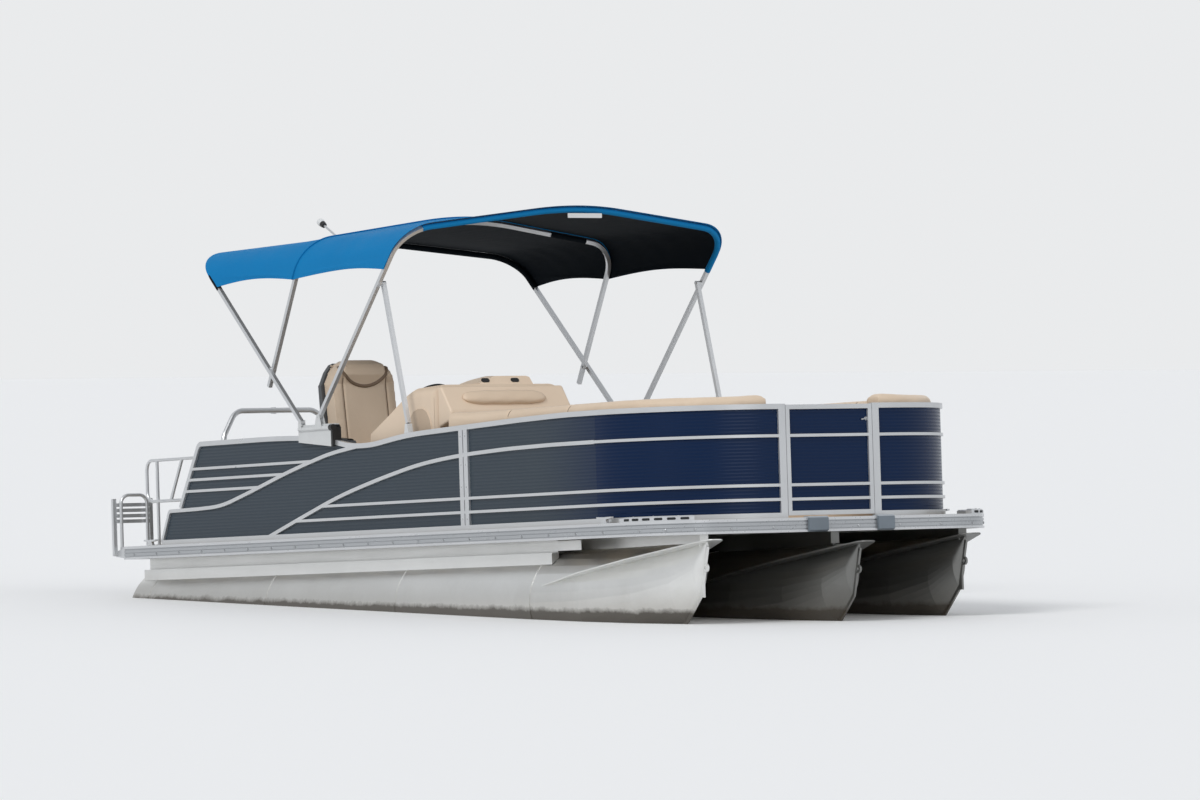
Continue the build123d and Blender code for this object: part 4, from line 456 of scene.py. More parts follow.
# The castings that cap the bow corners: pierced along their outer face, and screwed down from above.
# The openings show dark, as the rail behind them lies in shadow.
CASTING_R = 0.374
CASTING_MIDDLE = Vector((2.920, 0.915))
WINDOW_TURNS = (27, 39.5, 52, 64.5, 77, 89.5)
WINDOW_Z = 0.5025
WINDOW = (0.054, 0.0150, 0.0070)
CASTING_SCREW_R = 0.352
CASTING_TOP = 0.520
CASTING_SCREW = ((-0.002, 0.0065), (0.0012, 0.0065), (0.0030, 0.0042))
# near black for openings: painted shadow, with a mottled second tone
GAP_SHADOW = (0.008, 0.009, 0.010, 1)
GAP_SHADOW_MOTTLED = (0.022, 0.024, 0.026, 1)


def pill(wide, tall, radius, steps=5):
    """Outline of a rectangle with round corners, about its middle."""
    outline = []
    for turn, (a, b) in enumerate(((1, 1), (-1, 1), (-1, -1), (1, -1))):
        for step in range(steps + 1):
            angle = math.pi / 2 * (turn + step / steps)
            outline.append((a * (wide / 2 - radius) + radius * math.cos(angle),
                            b * (tall / 2 - radius) + radius * math.sin(angle)))
    return outline


def round_casting(turn, radius, z, sign):
    """A place on a casting, and the direction out of it there."""
    angle = math.radians(turn)
    out = Vector((math.cos(angle), sign * math.sin(angle), 0))
    return Vector((CASTING_MIDDLE.x, sign * CASTING_MIDDLE.y, z)) + out * radius, out


windows = bmesh.new()
screws = bmesh.new()
for sign in (-1, 1):
    for turn in WINDOW_TURNS:
        spot, out = round_casting(turn, CASTING_R - 0.0015, WINDOW_Z, sign)
        plate(windows, pill(*WINDOW), spot, -out.cross(Vector((0, 0, 1))), (0, 0, 1), 0.0022)
    for turn in WINDOW_TURNS[::2]:
        spot, out = round_casting(turn + 6, CASTING_SCREW_R, CASTING_TOP, sign)
        turned(screws, spot, (0, 0, 1), CASTING_SCREW, 12)
# the dark plates in the castings' openings and in the hood's vents: painted shadow, mottled a little
shadow_gap, tree, shader = new_finish("shadow_gap", Roughness=0.8)
cloud = place(tree, "TexNoise", {"Scale": 14.0}).outputs["Fac"]
feed(shader, Base_Color=mixed(tree, cloud, GAP_SHADOW, GAP_SHADOW_MOTTLED))
new_piece("casting_windows", "hull", [shadow_gap], windows)
new_piece("casting_screws", "hull", [bolt_steel], screws)


# The fence sheets: ribbed aluminium, held in the grooves of the bars round them.
# They are painted slate from the stern, fading to navy, and navy round the bow.
SLATE = (0.036, 0.050, 0.065, 1)
NAVY = (0.0006, 0.0125, 0.050, 1)
FADE_START = 1.75
FADE_END = 2.80
RIB_PITCH = 0.021


def toned(tree, colour, share):
    """A colour made lighter or darker over the surface."""
    return place(tree, "VectorMath", {0: colour, "Scale": share}, operation="SCALE").outputs[0]


def sheet_paint(name, aft_colour, fore_colour):
    """Ribbed sheet with a fine flake in its paint, which fades from one colour to another along the boat."""
    paint, tree, shader = new_finish(name, Roughness=0.26, Specular_IOR_Level=0.2)
    fade = ranged(tree, along(tree, "X"), FADE_START, FADE_END, 0, 1, interpolation_type="SMOOTHSTEP")
    sparkle = ranged(tree, noise(tree, surface_spot(tree), 380.0), 0.5, 0.8, 1.0, 1.35)
    wave = figure(tree, "SINE", figure(tree, "MULTIPLY", along(tree, "Z"), math.tau / RIB_PITCH))
    feed(shader, Base_Color=toned(tree, mixed(tree, fade, aft_colour, fore_colour), sparkle),
         Normal=raised(tree, wave, 0.5, 0.0012))
    return paint


dress(sheet_paint("side_paint", SLATE, NAVY), "fence_skins")
dress(sheet_paint("bow_paint", NAVY, NAVY), "bow_skins", "bow_gate_skin")
dress(sheet_paint("stern_paint", SLATE, SLATE), "stern_fence_skin", "stern_gate_skin")


# The bow gate's hinge barrels and latch, and the screws of the fences' joint posts: turned steel.
# The barrels are welded to the gate's post, and the screws hold a post's two halves to each other.
HINGE_AT = (3.2075, -0.3215)
HINGE_Z = (0.600, 0.830, 1.060)
# Columns: distance along the barrel, radius
BARREL = ((-0.038, 0.0060), (-0.036, 0.0085), (-0.013, 0.0085), (-0.0125, 0.0070), (0.0125, 0.0070), (0.013, 0.0085),
          (0.036, 0.0085), (0.038, 0.0060))
POST_SCREW = ((-0.001, 0.0055), (0.0010, 0.0055), (0.0022, 0.0040))
POST_SCREW_X = (0.962, 1.016)
POST_SCREW_Z = (0.560, 0.760, 0.900, 1.080)
POST_FACE = 1.2255
LATCH_AT = Vector((3.2135, 0.286, 1.080))
LATCH_KNOB = ((0, 0.013), (0.010, 0.013), (0.013, 0.010))
LATCH_LEVER = ((3.231, 0.286, 1.088), (3.234, 0.270, 1.086), (3.236, 0.246, 1.083))
fence_fittings = bmesh.new()
for z in HINGE_Z:
    turned(fence_fittings, (*HINGE_AT, z), (0, 0, 1), BARREL, 12)
for x in POST_SCREW_X:
    for z in POST_SCREW_Z:
        for sign in (-1, 1):
            turned(fence_fittings, (x, sign * POST_FACE, z), (0, sign, 0), POST_SCREW, 10)
new_piece("fence_fittings", "hull", [bolt_steel], fence_fittings)
latch = bmesh.new()
plate(latch, pill(0.050, 0.072, 0.010), LATCH_AT, (0, 1, 0), (0, 0, 1), 0.007)
turned(latch, LATCH_AT + Vector((0.0065, 0, 0.008)), (1, 0, 0), LATCH_KNOB)
bead(latch, LATCH_LEVER, 0.005)
new_piece("bow_gate_latch", "bow_gate", [bolt_steel], latch)


# The deck floor: sheets of plywood laid over the cross members.
# Woven vinyl is glued on top, sand coloured, its threads crossing in small knots.
SAND = (0.42, 0.33, 0.22, 1)
SAND_DARK = (0.26, 0.20, 0.13, 1)
THREADS = 220.0


def cells(tree, spot, scale):
    """Small round cells over the surface, 0 at each one's middle."""
    return place(tree, "TexVoronoi", {"Vector": spot, "Scale": scale}).outputs["Distance"]


floor_weave, tree, shader = new_finish("floor_weave", Roughness=0.8)
thread = cells(tree, surface_spot(tree), THREADS)
feed(shader, Base_Color=mixed(tree, thread, SAND_DARK, SAND), Normal=raised(tree, thread, 0.4, 0.002))
dress(floor_weave, "deck_floor")


# The moulded parts: the console and the lounge bases are tan shells with a fine pebble grain, the chair's
# shell is grey, and the clamps, mounts and steering wheel are of coloured plastic. The outboard is painted.
BLUE_GREY = (0.16, 0.19, 0.22, 1)
PALE_BLUE_GREY = (0.38, 0.41, 0.44, 1)
WHITE = (0.62, 0.63, 0.63, 1)
BLACK = (0.012, 0.012, 0.013, 1)
# Columns: colour, its other tone, roughness
TAN_SHELL = ((0.80, 0.65, 0.50, 1), (0.70, 0.55, 0.41, 1), 0.42)
GREY_SHELL = ((0.105, 0.11, 0.115, 1), (0.075, 0.08, 0.085, 1), 0.5)
BLACK_SHELL = (BLACK, (0.02, 0.02, 0.021, 1), 0.42)
MOTOR_PAINT = ((0.012, 0.013, 0.015, 1), (0.016, 0.017, 0.02, 1), 0.16)
# Columns: axis, middle, half width
CLAMP_BAND = ("Z", 0.500, 0.012)
MOUNT_BAND = ("X", -0.5615, 0.0185)


def moulding(name, colour, deep, roughness, pebbles=420.0, lift=0.15):
    """Moulded plastic with a pebble grain and slow changes of tone."""
    shell, tree, shader = new_finish(name, Roughness=roughness)
    spot = surface_spot(tree)
    feed(shader, Base_Color=mixed(tree, noise(tree, spot, 3.0, 4.0), deep, colour),
         Normal=raised(tree, cells(tree, spot, pebbles), lift, 0.001))
    return shell


def banded(name, axis, middle, reach, colour, band, roughness):
    """Moulded plastic with a band of another colour about a place along an axis."""
    shell, tree, shader = new_finish(name, Roughness=roughness)
    spot = surface_spot(tree)
    base = mixed(tree, figure(tree, "COMPARE", along(tree, axis), middle, reach), colour, band)
    tone = ranged(tree, noise(tree, spot, 12.0, 4.0), 0, 1, 0.88, 1.10)
    feed(shader, Base_Color=toned(tree, base, tone), Normal=raised(tree, cells(tree, spot, 380.0), 0.12, 0.001))
    return shell


tan_shell = moulding("tan_shell", *TAN_SHELL)
black_shell = moulding("black_shell", *BLACK_SHELL)
motor_paint = moulding("motor_paint", *MOTOR_PAINT, 30.0, 0.02)
dress(tan_shell, "console", "lounge_bases", "console_hood", edges=0.008)
dress(moulding("grey_shell", *GREY_SHELL), "chair_frame", edges=0.008)
dress(banded("clamp_sleeve", *CLAMP_BAND, BLUE_GREY, PALE_BLUE_GREY, 0.45), "rail_clamps", edges=0.003)
dress(banded("mount_shell", *MOUNT_BAND, WHITE, BLACK, 0.4), "bimini_mounts", edges=0.003)
dress(black_shell, "steering_wheel", edges=0.005)
dress(motor_paint, "motor", "motor_swivel", "motor_bracket", "propeller", edges=0.005)


# The console's outside: two vents in its hood, dark plates of painted shadow, a raked front under the hood that a
# pillow lies on, and a door let into its starboard side with a bead of tan trim and a round latch. The door is a
# darker tan, painted shade of its recess and of the console's side.
VENT_Y = (-0.713, -0.490)
VENT_AT = (0.4625, 1.4500)
VENT_UP = (-0.5065, 0, 0.8622)
# Columns: distance ahead, height
BROW = ((0, 0), (0.036, 0.010), (0.155, -0.152), (0.158, -0.185), (0.140, -0.215), (0, -0.260))
BROW_AT = (0.5215, -0.190, 1.404)
BROW_WIDE = 0.922
SIDE_Y = -1.120
# a darker tan for the door: painted shade of its recess and of the console's side
SIDE_SHADE_SHELL = ((0.58, 0.45, 0.33, 1), (0.50, 0.38, 0.27, 1), 0.5)
# Columns: X, Z
DOOR = ((0.455, 0.560), (0.455, 1.150), (0.440, 1.210), (0.405, 1.258), (0.355, 1.280), (0.300, 1.280), (0.240, 1.262),
        (0.195, 1.215), (0.178, 1.150), (0.178, 0.560))
DOOR_LATCH = ((0, 0.017), (0.004, 0.017), (0.007, 0.012))
# dark plates for the vents' openings: painted shadow
vents = bmesh.new()
for y in VENT_Y:
    plate(vents, pill(0.062, 0.030, 0.0149), (VENT_AT[0], y, VENT_AT[1]), (0, 1, 0), VENT_UP, 0.004)
new_piece("hood_vents", "hull", [shadow_gap], vents, 0.001)
brow = bmesh.new()
plate(brow, BROW, BROW_AT, (1, 0, 0), (0, 0, 1), BROW_WIDE)
new_piece("console_brow", "hull", [tan_shell], brow, 0.016)
side_shade_shell = moulding("side_shade_shell", *SIDE_SHADE_SHELL)
door = bmesh.new()
plate(door, DOOR, (0, SIDE_Y, 0), (1, 0, 0), (0, 0, 1), 0.004)
new_piece("console_door", "hull", [side_shade_shell], door, 0.0015)
door_edge = bmesh.new()
bead(door_edge, [(x, SIDE_Y - 0.001, z) for x, z in DOOR], 0.004, closed=True)
new_piece("console_door_edge", "hull", [tan_shell], door_edge)
door_latch = bmesh.new()
turned(door_latch, (0.215, SIDE_Y - 0.003, 0.950), (0, -1, 0), DOOR_LATCH, 20)
new_piece("console_latch", "hull", [black_shell], door_latch)


# The dash: a sloping panel with four round gauges, a screen and a row of rocker switches, all with black
# bezels set in from the front. The throttle's box, the cup holder and the wheel's boss are screwed on.
DASH_LOW = Vector((-0.060, 0, 1.250))
DASH_UP = Vector((0.310, 0, 0.160)).normalized()
DASH_OUT = Vector((-DASH_UP.z, 0, DASH_UP.x))
GAUGE_R = 0.036
GAUGE_BEZEL = ((0, GAUGE_R + 0.005), (0.007, GAUGE_R + 0.004), (0.009, GAUGE_R + 0.001), (0.0085, GAUGE_R - 0.002),
               (0.004, GAUGE_R - 0.003))
GAUGE_DIAL = ((0, GAUGE_R - 0.0032), (0.0006, GAUGE_R - 0.0036))
# Columns: Y, distance up the dash
GAUGES = ((-0.800, 0.205), (-0.700, 0.235), (-0.580, 0.235), (-0.480, 0.205))
TICK = ((-0.0009, 0.022), (0.0009, 0.022), (0.0009, 0.030), (-0.0009, 0.030))
TICK_THICK = 0.0004
SWITCHES = (-0.420, -0.380, -0.340, -0.300, -0.260)
WHITE_MARK = ((0.75, 0.76, 0.76, 1), (0.68, 0.69, 0.69, 1), 0.5)
DIAL_FACE = ((0.020, 0.022, 0.026, 1), (0.014, 0.016, 0.020, 1), 0.25)
# Columns: distance out of the dash, distance up it, Y beside the throttle's box
LEVER = ((0.018, 0.0, 0.030), (0.070, 0.012, 0.034), (0.118, 0.030, 0.034), (0.132, 0.040, 0.028))
GRIP = ((0, 0.013), (0.006, 0.018), (0.055, 0.018), (0.062, 0.012))
HOLDER_AT = (-0.175, -0.955, 1.1955)
HOLDER_OUT = (-0.418, 0, 0.908)
HOLDER_CUP = ((0, 0.052), (0.006, 0.052), (0.009, 0.047), (0.006, 0.040), (-0.004, 0.038))
WHEEL_HUB = Vector((-0.330, -0.640, 1.300))
WHEEL_OUT = Vector((-0.788, 0, 0.6157))
WHEEL_BOSS = ((0, 0.038), (0.006, 0.038), (0.014, 0.030), (0.017, 0.016))


def on_dash(y, up_dash, out=0.0):
    """A place on the dash: Y, distance up it, distance out of it."""
    return DASH_LOW + DASH_UP * up_dash + DASH_OUT * out + Vector((0, y, 0))


bezels = bmesh.new()
dials = bmesh.new()
for y, up_dash in GAUGES:
    turned(bezels, on_dash(y, up_dash, -0.001), DASH_OUT, GAUGE_BEZEL, 32)
    turned(dials, on_dash(y, up_dash, 0.0035), DASH_OUT, GAUGE_DIAL, 32)
    for turn in range(-120, 121, 30):
        angle = math.radians(turn)
        ahead = DASH_UP * math.cos(angle) + Vector((0, 1, 0)) * math.sin(angle)
        across = DASH_OUT.cross(ahead)
        thick = math.copysign(TICK_THICK, across.cross(ahead).dot(DASH_OUT))
        plate(dials, TICK, on_dash(y, up_dash, 0.0041), across, ahead, thick, slot=1)
for y in SWITCHES:
    plate(bezels, pill(0.024, 0.046, 0.004), on_dash(y, 0.120, -0.001), (0, -1, 0), DASH_UP, 0.005)
    plate(bezels, pill(0.016, 0.034, 0.003), on_dash(y, 0.122, 0.003), (0, -1, 0), DASH_UP, 0.005)
plate(bezels, pill(0.150, 0.095, 0.012), on_dash(-0.950, 0.125, -0.001), (0, -1, 0), DASH_UP, 0.006)
new_piece("dash_bezels", "hull", [black_shell], bezels, 0.001)
white_mark = moulding("white_mark", *WHITE_MARK)
dial_face = moulding("dial_face", *DIAL_FACE, 200.0, 0.0)
new_piece("gauge_dials", "hull", [dial_face, white_mark], dials)

throttle = bmesh.new()
plate(throttle, pill(0.075, 0.150, 0.02), on_dash(-0.300, 0.03, -0.001), (0, -1, 0), DASH_UP, 0.022)
bead(throttle, [on_dash(y - 0.300, up_dash + 0.03, out) for out, up_dash, y in LEVER], 0.0095, flat=0.7)
turned(throttle, on_dash(-0.248, 0.073, 0.136), (0, -1, 0), GRIP, 20)
new_piece("throttle", "hull", [black_shell], throttle, 0.004)
holder = bmesh.new()
turned(holder, HOLDER_AT, HOLDER_OUT, HOLDER_CUP, 28)
new_piece("cup_holder", "hull", [bolt_steel], holder)
boss = bmesh.new()
turned(boss, WHEEL_HUB + WHEEL_OUT * 0.020, WHEEL_OUT, WHEEL_BOSS, 28)
new_piece("wheel_boss", "steering_wheel", [bolt_steel], boss)


# The lounges' cushions: tan marine vinyl sewn over foam, with brown piping in the seams.
# Each is remeshed from its solid and blown up by a short run of cloth, then creased and piped.
VINYL = (0.76, 0.61, 0.46, 1)
VINYL_DEEP = (0.66, 0.51, 0.37, 1)
PIPING = (0.22, 0.145, 0.09, 1)
PIPING_DEEP = (0.18, 0.12, 0.075, 1)
CLOTH_FRAMES = 20
# Columns: remeshed cell, how far the skin is drawn in at first, how far it may swell
SEAT_FOAM = (0.019, 0.009, 0.012)
BACK_FOAM = (0.017, 0.008, 0.011)
# Columns: node ending, side of the boat, seams across the seat and the back
LOUNGES = (("bow_starboard", -1, (1.42, 2.10)), ("bow_port", 1, (1.30, 2.05)), ("aft_port", 1, (-1.70, -1.20)))


def vinyl_finish(name, colour, deep):
    """Marine vinyl: a soft grain of creases with slow changes of tone."""
    skin, tree, shader = new_finish(name, Roughness=0.5, Sheen_Weight=0.15, Sheen_Roughness=0.5)
    spot = surface_spot(tree)
    pull = noise(tree, spot, 16.0, 3.0, Distortion=0.8)
    fine = raised(tree, cells(tree, spot, 240.0), 0.2, 0.0012)
    feed(shader, Base_Color=mixed(tree, noise(tree, spot, 4.0, 4.0), deep, colour),
         Normal=raised(tree, pull, 0.25, 0.008, Normal=fine))
    return skin


def baked(piece):
    """Replaces a piece's mesh by what its modifiers make of it."""
    made = bpy.data.meshes.new_from_object(piece.evaluated_get(bpy.context.evaluated_depsgraph_get()))
    piece.modifiers.clear()
    piece.data = made


def blown_up(pad, cap):
    """Swells a cushion with a short run of cloth under pressure, none of it moving farther than the cap."""
    start = [vertex.co.copy() for vertex in pad.data.vertices]
    cloth = pad.modifiers.new("cloth", "CLOTH")
    for key, value in (("quality", 4), ("mass", 0.3), ("tension_stiffness", 20), ("compression_stiffness", 20),
                       ("shear_stiffness", 8), ("bending_stiffness", 2), ("use_pressure", True),
                       ("uniform_pressure_force", 4)):
        setattr(cloth.settings, key, value)
    cloth.settings.effector_weights.gravity = 0
    cloth.collision_settings.use_collision = False
    cloth.point_cache.frame_start = 1
    cloth.point_cache.frame_end = CLOTH_FRAMES
    for step in range(1, CLOTH_FRAMES + 1):
        scene.frame_set(step)
    blown = pad.evaluated_get(bpy.context.evaluated_depsgraph_get()).data
    swollen = [vertex.co.copy() for vertex in blown.vertices]
    pad.modifiers.clear()
    for vertex, before, after in zip(pad.data.vertices, start, swollen):
        move = after - before
        vertex.co = before + move * min(1.0, cap / max(move.length, 1e-6))
    scene.frame_set(1)


def plump(node, name, body, voxel, slack, cap, creases):
    """A cushion from a solid of the frame. Creases: axis, place along it, half width, depth."""
    pad = set_down(name, nodes[node].data.copy())
    remesh = pad.modifiers.new("remesh", "REMESH")
    remesh.mode = "VOXEL"
    remesh.voxel_size = voxel
    baked(pad)
    normals = [vertex.normal.copy() for vertex in pad.data.vertices]
    for vertex, normal in zip(pad.data.vertices, normals):
        vertex.co -= normal * slack
    blown_up(pad, cap)
    subdivision = pad.modifiers.new("subdivision", "SUBSURF")
    subdivision.levels = subdivision.render_levels = 1
    baked(pad)
    low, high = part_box(node)
    mesh = pad.data
    normals = [vertex.normal.copy() for vertex in mesh.vertices]
    for vertex, normal in zip(mesh.vertices, normals):
        for axis, at, half_wide, depth in creases:
            near = math.exp(-((vertex.co[axis] - at) / half_wide) ** 2)
            if near > 0.01:
                vertex.co -= normal * depth * near
        for axis in range(3):
            vertex.co[axis] = min(max(vertex.co[axis], low[axis] + 0.0005), high[axis])
    mesh.materials.clear()
    mesh.materials.append(vinyl)
    mesh.polygons.foreach_set("use_smooth", [True] * len(mesh.polygons))
    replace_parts(pad, node)
    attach(pad, body)
    return pad


def piped(name, pad, body, lines, radius):
    """Piping laid on a cushion: each line's places are dropped onto it along a direction."""
    tree_of_faces = BVHTree.FromPolygons([vertex.co for vertex in pad.data.vertices],
                                         [face.vertices[:] for face in pad.data.polygons])
    solid = bmesh.new()
    for direction, places in lines:
        landed = [tree_of_faces.ray_cast(Vector(spot), Vector(direction))[0] for spot in places]
        landed = [spot for spot in landed if spot is not None]
        if len(landed) > 2:
            bead(solid, landed, radius, flat=0.7, steps=6)
    return new_piece(name, body, [piping], solid)


vinyl = vinyl_finish("vinyl", VINYL, VINYL_DEEP)
piping = vinyl_finish("piping", PIPING, PIPING_DEEP)
for name, sign, seams in LOUNGES:
    seat = plump("lounge_seat_" + name, "seat_pad_" + name, "hull", *SEAT_FOAM, [(0, x, 0.012, 0.009) for x in seams])
    back = plump("lounge_back_" + name, "back_pad_" + name, "hull", *BACK_FOAM, [(0, x, 0.012, 0.008) for x in seams])
    lines = [((0, 0, -1), [(x, sign * (1.022 + 0.0075 * step), 1.40) for step in range(1, 19)]) for x in seams]
    piped("back_piping_" + name, back, "hull", lines, 0.004)
    lines = [((0, 0, -1), [(x, sign * (0.640 + 0.011 * step), 1.10) for step in range(34)]) for x in seams]
    piped("seat_piping_" + name, seat, "hull", lines, 0.004)


# The raked backrests at the bow lounges' aft ends: vinyl over foam, with a sewn channel across each.
# The starboard one runs up behind the console's raked front, so its seam shows no piping.
SLOPE_FOOT = (0.548, 1.414)
SLOPE_RUN = 0.72
SLOPE_START = 1.15
backrests = plump("chaise_backs", "backrest_pads", "hull", 0.010, 0.006, 0.010,
                  [(2, 1.255, 0.010, 0.009), (2, 1.130, 0.010, 0.006)])
for vertex in backrests.data.vertices:
    if vertex.co.y < 0 and vertex.co.z > SLOPE_START:
        vertex.co.x = min(vertex.co.x, SLOPE_FOOT[0] + SLOPE_RUN * (SLOPE_FOOT[1] - vertex.co.z))
lines = [((-1, 0, 0), [(0.95, 0.64 + 0.009 * step, 1.255) for step in range(41)])]
piped("backrest_piping", backrests, "hull", lines, 0.004)


# The pillow on the console's raked front: a plump roll of vinyl with pinched ends.
# It is stuffed with fibre and snapped to the slope, so it stays a loose, slightly wavy form.
PILLOW_Y = (-0.985, -0.365)
PILLOW_AT = (0.6235, 1.3350)
PILLOW_LEAN = math.radians(54)
PILLOW_R = (0.052, 0.030)
PILLOW_RINGS = 41
PILLOW_SIDES = 28
PILLOW_WAVE = 0.0018


def squared(value, power):
    """A cosine or sine bent toward a square's, its sign kept."""
    return math.copysign(abs(value) ** power, value)


pillow = bmesh.new()
rings = []
for step in range(PILLOW_RINGS):
    share = step / (PILLOW_RINGS - 1)
    plump_here = (1 - abs(2 * share - 1) ** 7) ** 0.5 * (0.93 + 0.07 * math.sin(math.pi * share))
    ring = []
    for turn in range(PILLOW_SIDES):
        angle = math.tau * turn / PILLOW_SIDES
        a = squared(math.cos(angle), 0.8) * PILLOW_R[0] * max(plump_here, 0.15)
        b = squared(math.sin(angle), 0.9) * PILLOW_R[1] * max(plump_here, 0.08)
        wave = PILLOW_WAVE * math.sin(23 * share + 2 * angle)
        ring.append(pillow.verts.new((
            PILLOW_AT[0] + b * math.sin(PILLOW_LEAN) - a * math.cos(PILLOW_LEAN),
            PILLOW_Y[0] + (PILLOW_Y[1] - PILLOW_Y[0]) * share,
            PILLOW_AT[1] + a * math.sin(PILLOW_LEAN) + b * math.cos(PILLOW_LEAN) + wave)))
    rings.append(ring)
skinned(pillow, rings)
pillow_piece = new_piece("console_pillow", "hull", [vinyl], pillow, sharp=70)


# The driver's chair: a seat and a winged back with a headrest, vinyl over foam in a moulded shell.
# Brown piping runs along the wings and round the headrest, and a soft pad is pulled over each arm.
CHAIR_Y = -0.610
WING_Y = 0.165
ARM_Y = 0.285
# Columns: X, Z
ARM_LINE = ((-1.235, 1.139), (-1.180, 1.139), (-1.100, 1.136), (-1.030, 1.131), (-0.960, 1.125), (-0.920, 1.121))
chair = plump("helm_chair", "chair_pads", "helm_chair", 0.0085, 0.006, 0.010,
              [(1, CHAIR_Y - WING_Y, 0.009, 0.008), (1, CHAIR_Y + WING_Y, 0.009, 0.008), (0, -1.020, 0.010, 0.004)])
lines = []
arm_pads = bmesh.new()
for side in (-1, 1):
    wing = CHAIR_Y + side * WING_Y
    lines.append(((-1, 0, 0), [(-0.95, wing, 1.10 + 0.0110 * step) for step in range(41)]))
    lines.append(((0, 0, -1), [(-0.86 - 0.0075 * step, wing, 1.20) for step in range(41)]))
    bead(arm_pads, [(x, CHAIR_Y + side * ARM_Y, z) for x, z in ARM_LINE], 0.026, flat=0.42, steps=16)
piped("chair_piping", chair, "helm_chair", lines, 0.0042)
band = []
for step in range(33):
    turn = math.pi * (step / 32 - 0.5)
    band.append((-0.95, CHAIR_Y + 0.178 * math.sin(turn), 1.610 - 0.125 * math.cos(turn) ** 1.3))
piped("headrest_band", chair, "helm_chair", [((-1, 0, 0), band)], 0.013)
new_piece("arm_pads", "helm_chair", [black_shell], arm_pads)


# The canopy: two sheets of woven acrylic, blue outside and painted near black inside as shade, stretched over the
# arches.
# They meet in a seam over the middle arch, sag a little between the arches, and are sewn round them in
# sleeves. A blank plate is sewn to the front hem.
BLUE = (0.003, 0.175, 0.43, 1)
BLUE_WORN = (0.006, 0.21, 0.49, 1)
# the inside's near black is painted shade under the canopy
INSIDE_PAINTED_SHADE = (0.0035, 0.0065, 0.0105, 1)
INSIDE_PAINTED_SHADE_WORN = (0.005, 0.009, 0.014, 1)
CLOTH_OFF = 0.017
CLOTH_LIFT = 0.012
CLOTH_HALF = 0.0013
SLEEVE_R = 0.0195
HEM_Z = 2.165
HEM_RISE = 0.030
SAG = 0.014
CREASE = 0.0035
PULL = 0.0022
SLOW_WAVE = 0.003
RUN_STEPS = 44
BEND_STEPS = 18
CROWN_DROP = 0.180
CROWN_RISE = 0.027
BEND_R = 0.240
CROWN_R = 2.000
# Columns: foot X, foot Z, crown X, crown Z, half width
REAR_ARCH = (-0.946, 1.242, -2.330, 2.500, 1.244)
MID_ARCH = (-1.343, 1.603, -0.830, 2.545, 1.210)
FRONT_ARCH = (-0.715, 1.270, 0.491, 2.542, 1.244)
# Columns: name, CAD node, aft arch and shift, fore arch and shift, crease phase
PANELS = (
    ("canopy_aft", "canvas_aft", REAR_ARCH, -0.020, MID_ARCH, -0.001, 0.4),
    ("canopy_fore", "canvas_fore", MID_ARCH, 0.001, FRONT_ARCH, 0.020, 2.1),
)


def rounded(corners, radii, steps):
    """Places along a line that turns clockwise at rounded corners."""
    places = [corners[0]]
    for before, here, after, radius in zip(corners, corners[1:], corners[2:], radii):
        back = (before - here).normalized()
        onward = (after - here).normalized()
        half_turn = (math.pi - back.angle(onward)) / 2
        middle = here + (back + onward).normalized() * radius / math.cos(half_turn)
        arm = here + back * radius * math.tan(half_turn) - middle
        for step in range(steps + 1):
            angle = -2 * half_turn * step / steps
            places.append(middle + Vector((
                arm.x * math.cos(angle) - arm.y * math.sin(angle), arm.x * math.sin(angle) + arm.y * math.cos(angle))))
    places.append(corners[-1])
    return places


def arch_places(arch, outward, ahead=0.0, lift=0.0, hem=HEM_Z):
    """Places along an arch from its starboard hem over the crown to its port hem, moved outward."""
    foot_x, foot_z, crown_x, crown_z, half = arch
    length = math.hypot(crown_x - foot_x, crown_z - foot_z)
    rise = Vector((crown_x - foot_x, 0, crown_z - foot_z)) / length
    low = (hem - foot_z) / (crown_z - foot_z) * length
    wide = half + outward
    top = length + outward
    corners = [Vector((-wide, low)), Vector((-wide, top - CROWN_DROP)), Vector((0, top + CROWN_RISE)),
               Vector((wide, top - CROWN_DROP)), Vector((wide, low))]
    line = rounded(corners, (BEND_R + outward, CROWN_R + outward, BEND_R + outward), BEND_STEPS)
    bends = BEND_STEPS + 1
    straight = {0: 8, bends: 14, 2 * bends: 14, 3 * bends: 8}
    places = []
    for index, (here, after) in enumerate(zip(line, line[1:])):
        parts_here = straight.get(index, 1)
        places += [here.lerp(after, step / parts_here) for step in range(parts_here)]
    places.append(line[-1])
    origin = Vector((foot_x + ahead, 0, foot_z + lift))
    return [origin + Vector((0, a, 0)) + rise * b for a, b in places]


def creased(share, down, phase):
    """How far the cloth stands out: creases along the hem, pulls from the arches' corners and slow waves."""
    crease = CREASE * math.exp(-(down / 0.16) ** 2) * math.sin(74 * down + 2.6 * share + phase)
    pull = PULL * math.exp(-((down - 0.20) / 0.10) ** 2) * math.sin(31 * share + 22 * down + phase)
    slow = SLOW_WAVE * math.sin(5.5 * share + phase) * math.sin(9 * down + 2 * phase)
    return crease + pull + slow


def strip(solid, row, following, slot=0):
    """Adds the faces between two rows of places."""
    for index in range(len(row) - 1):
        face = solid.faces.new((row[index], row[index + 1], following[index + 1], following[index]))
        face.material_index = slot


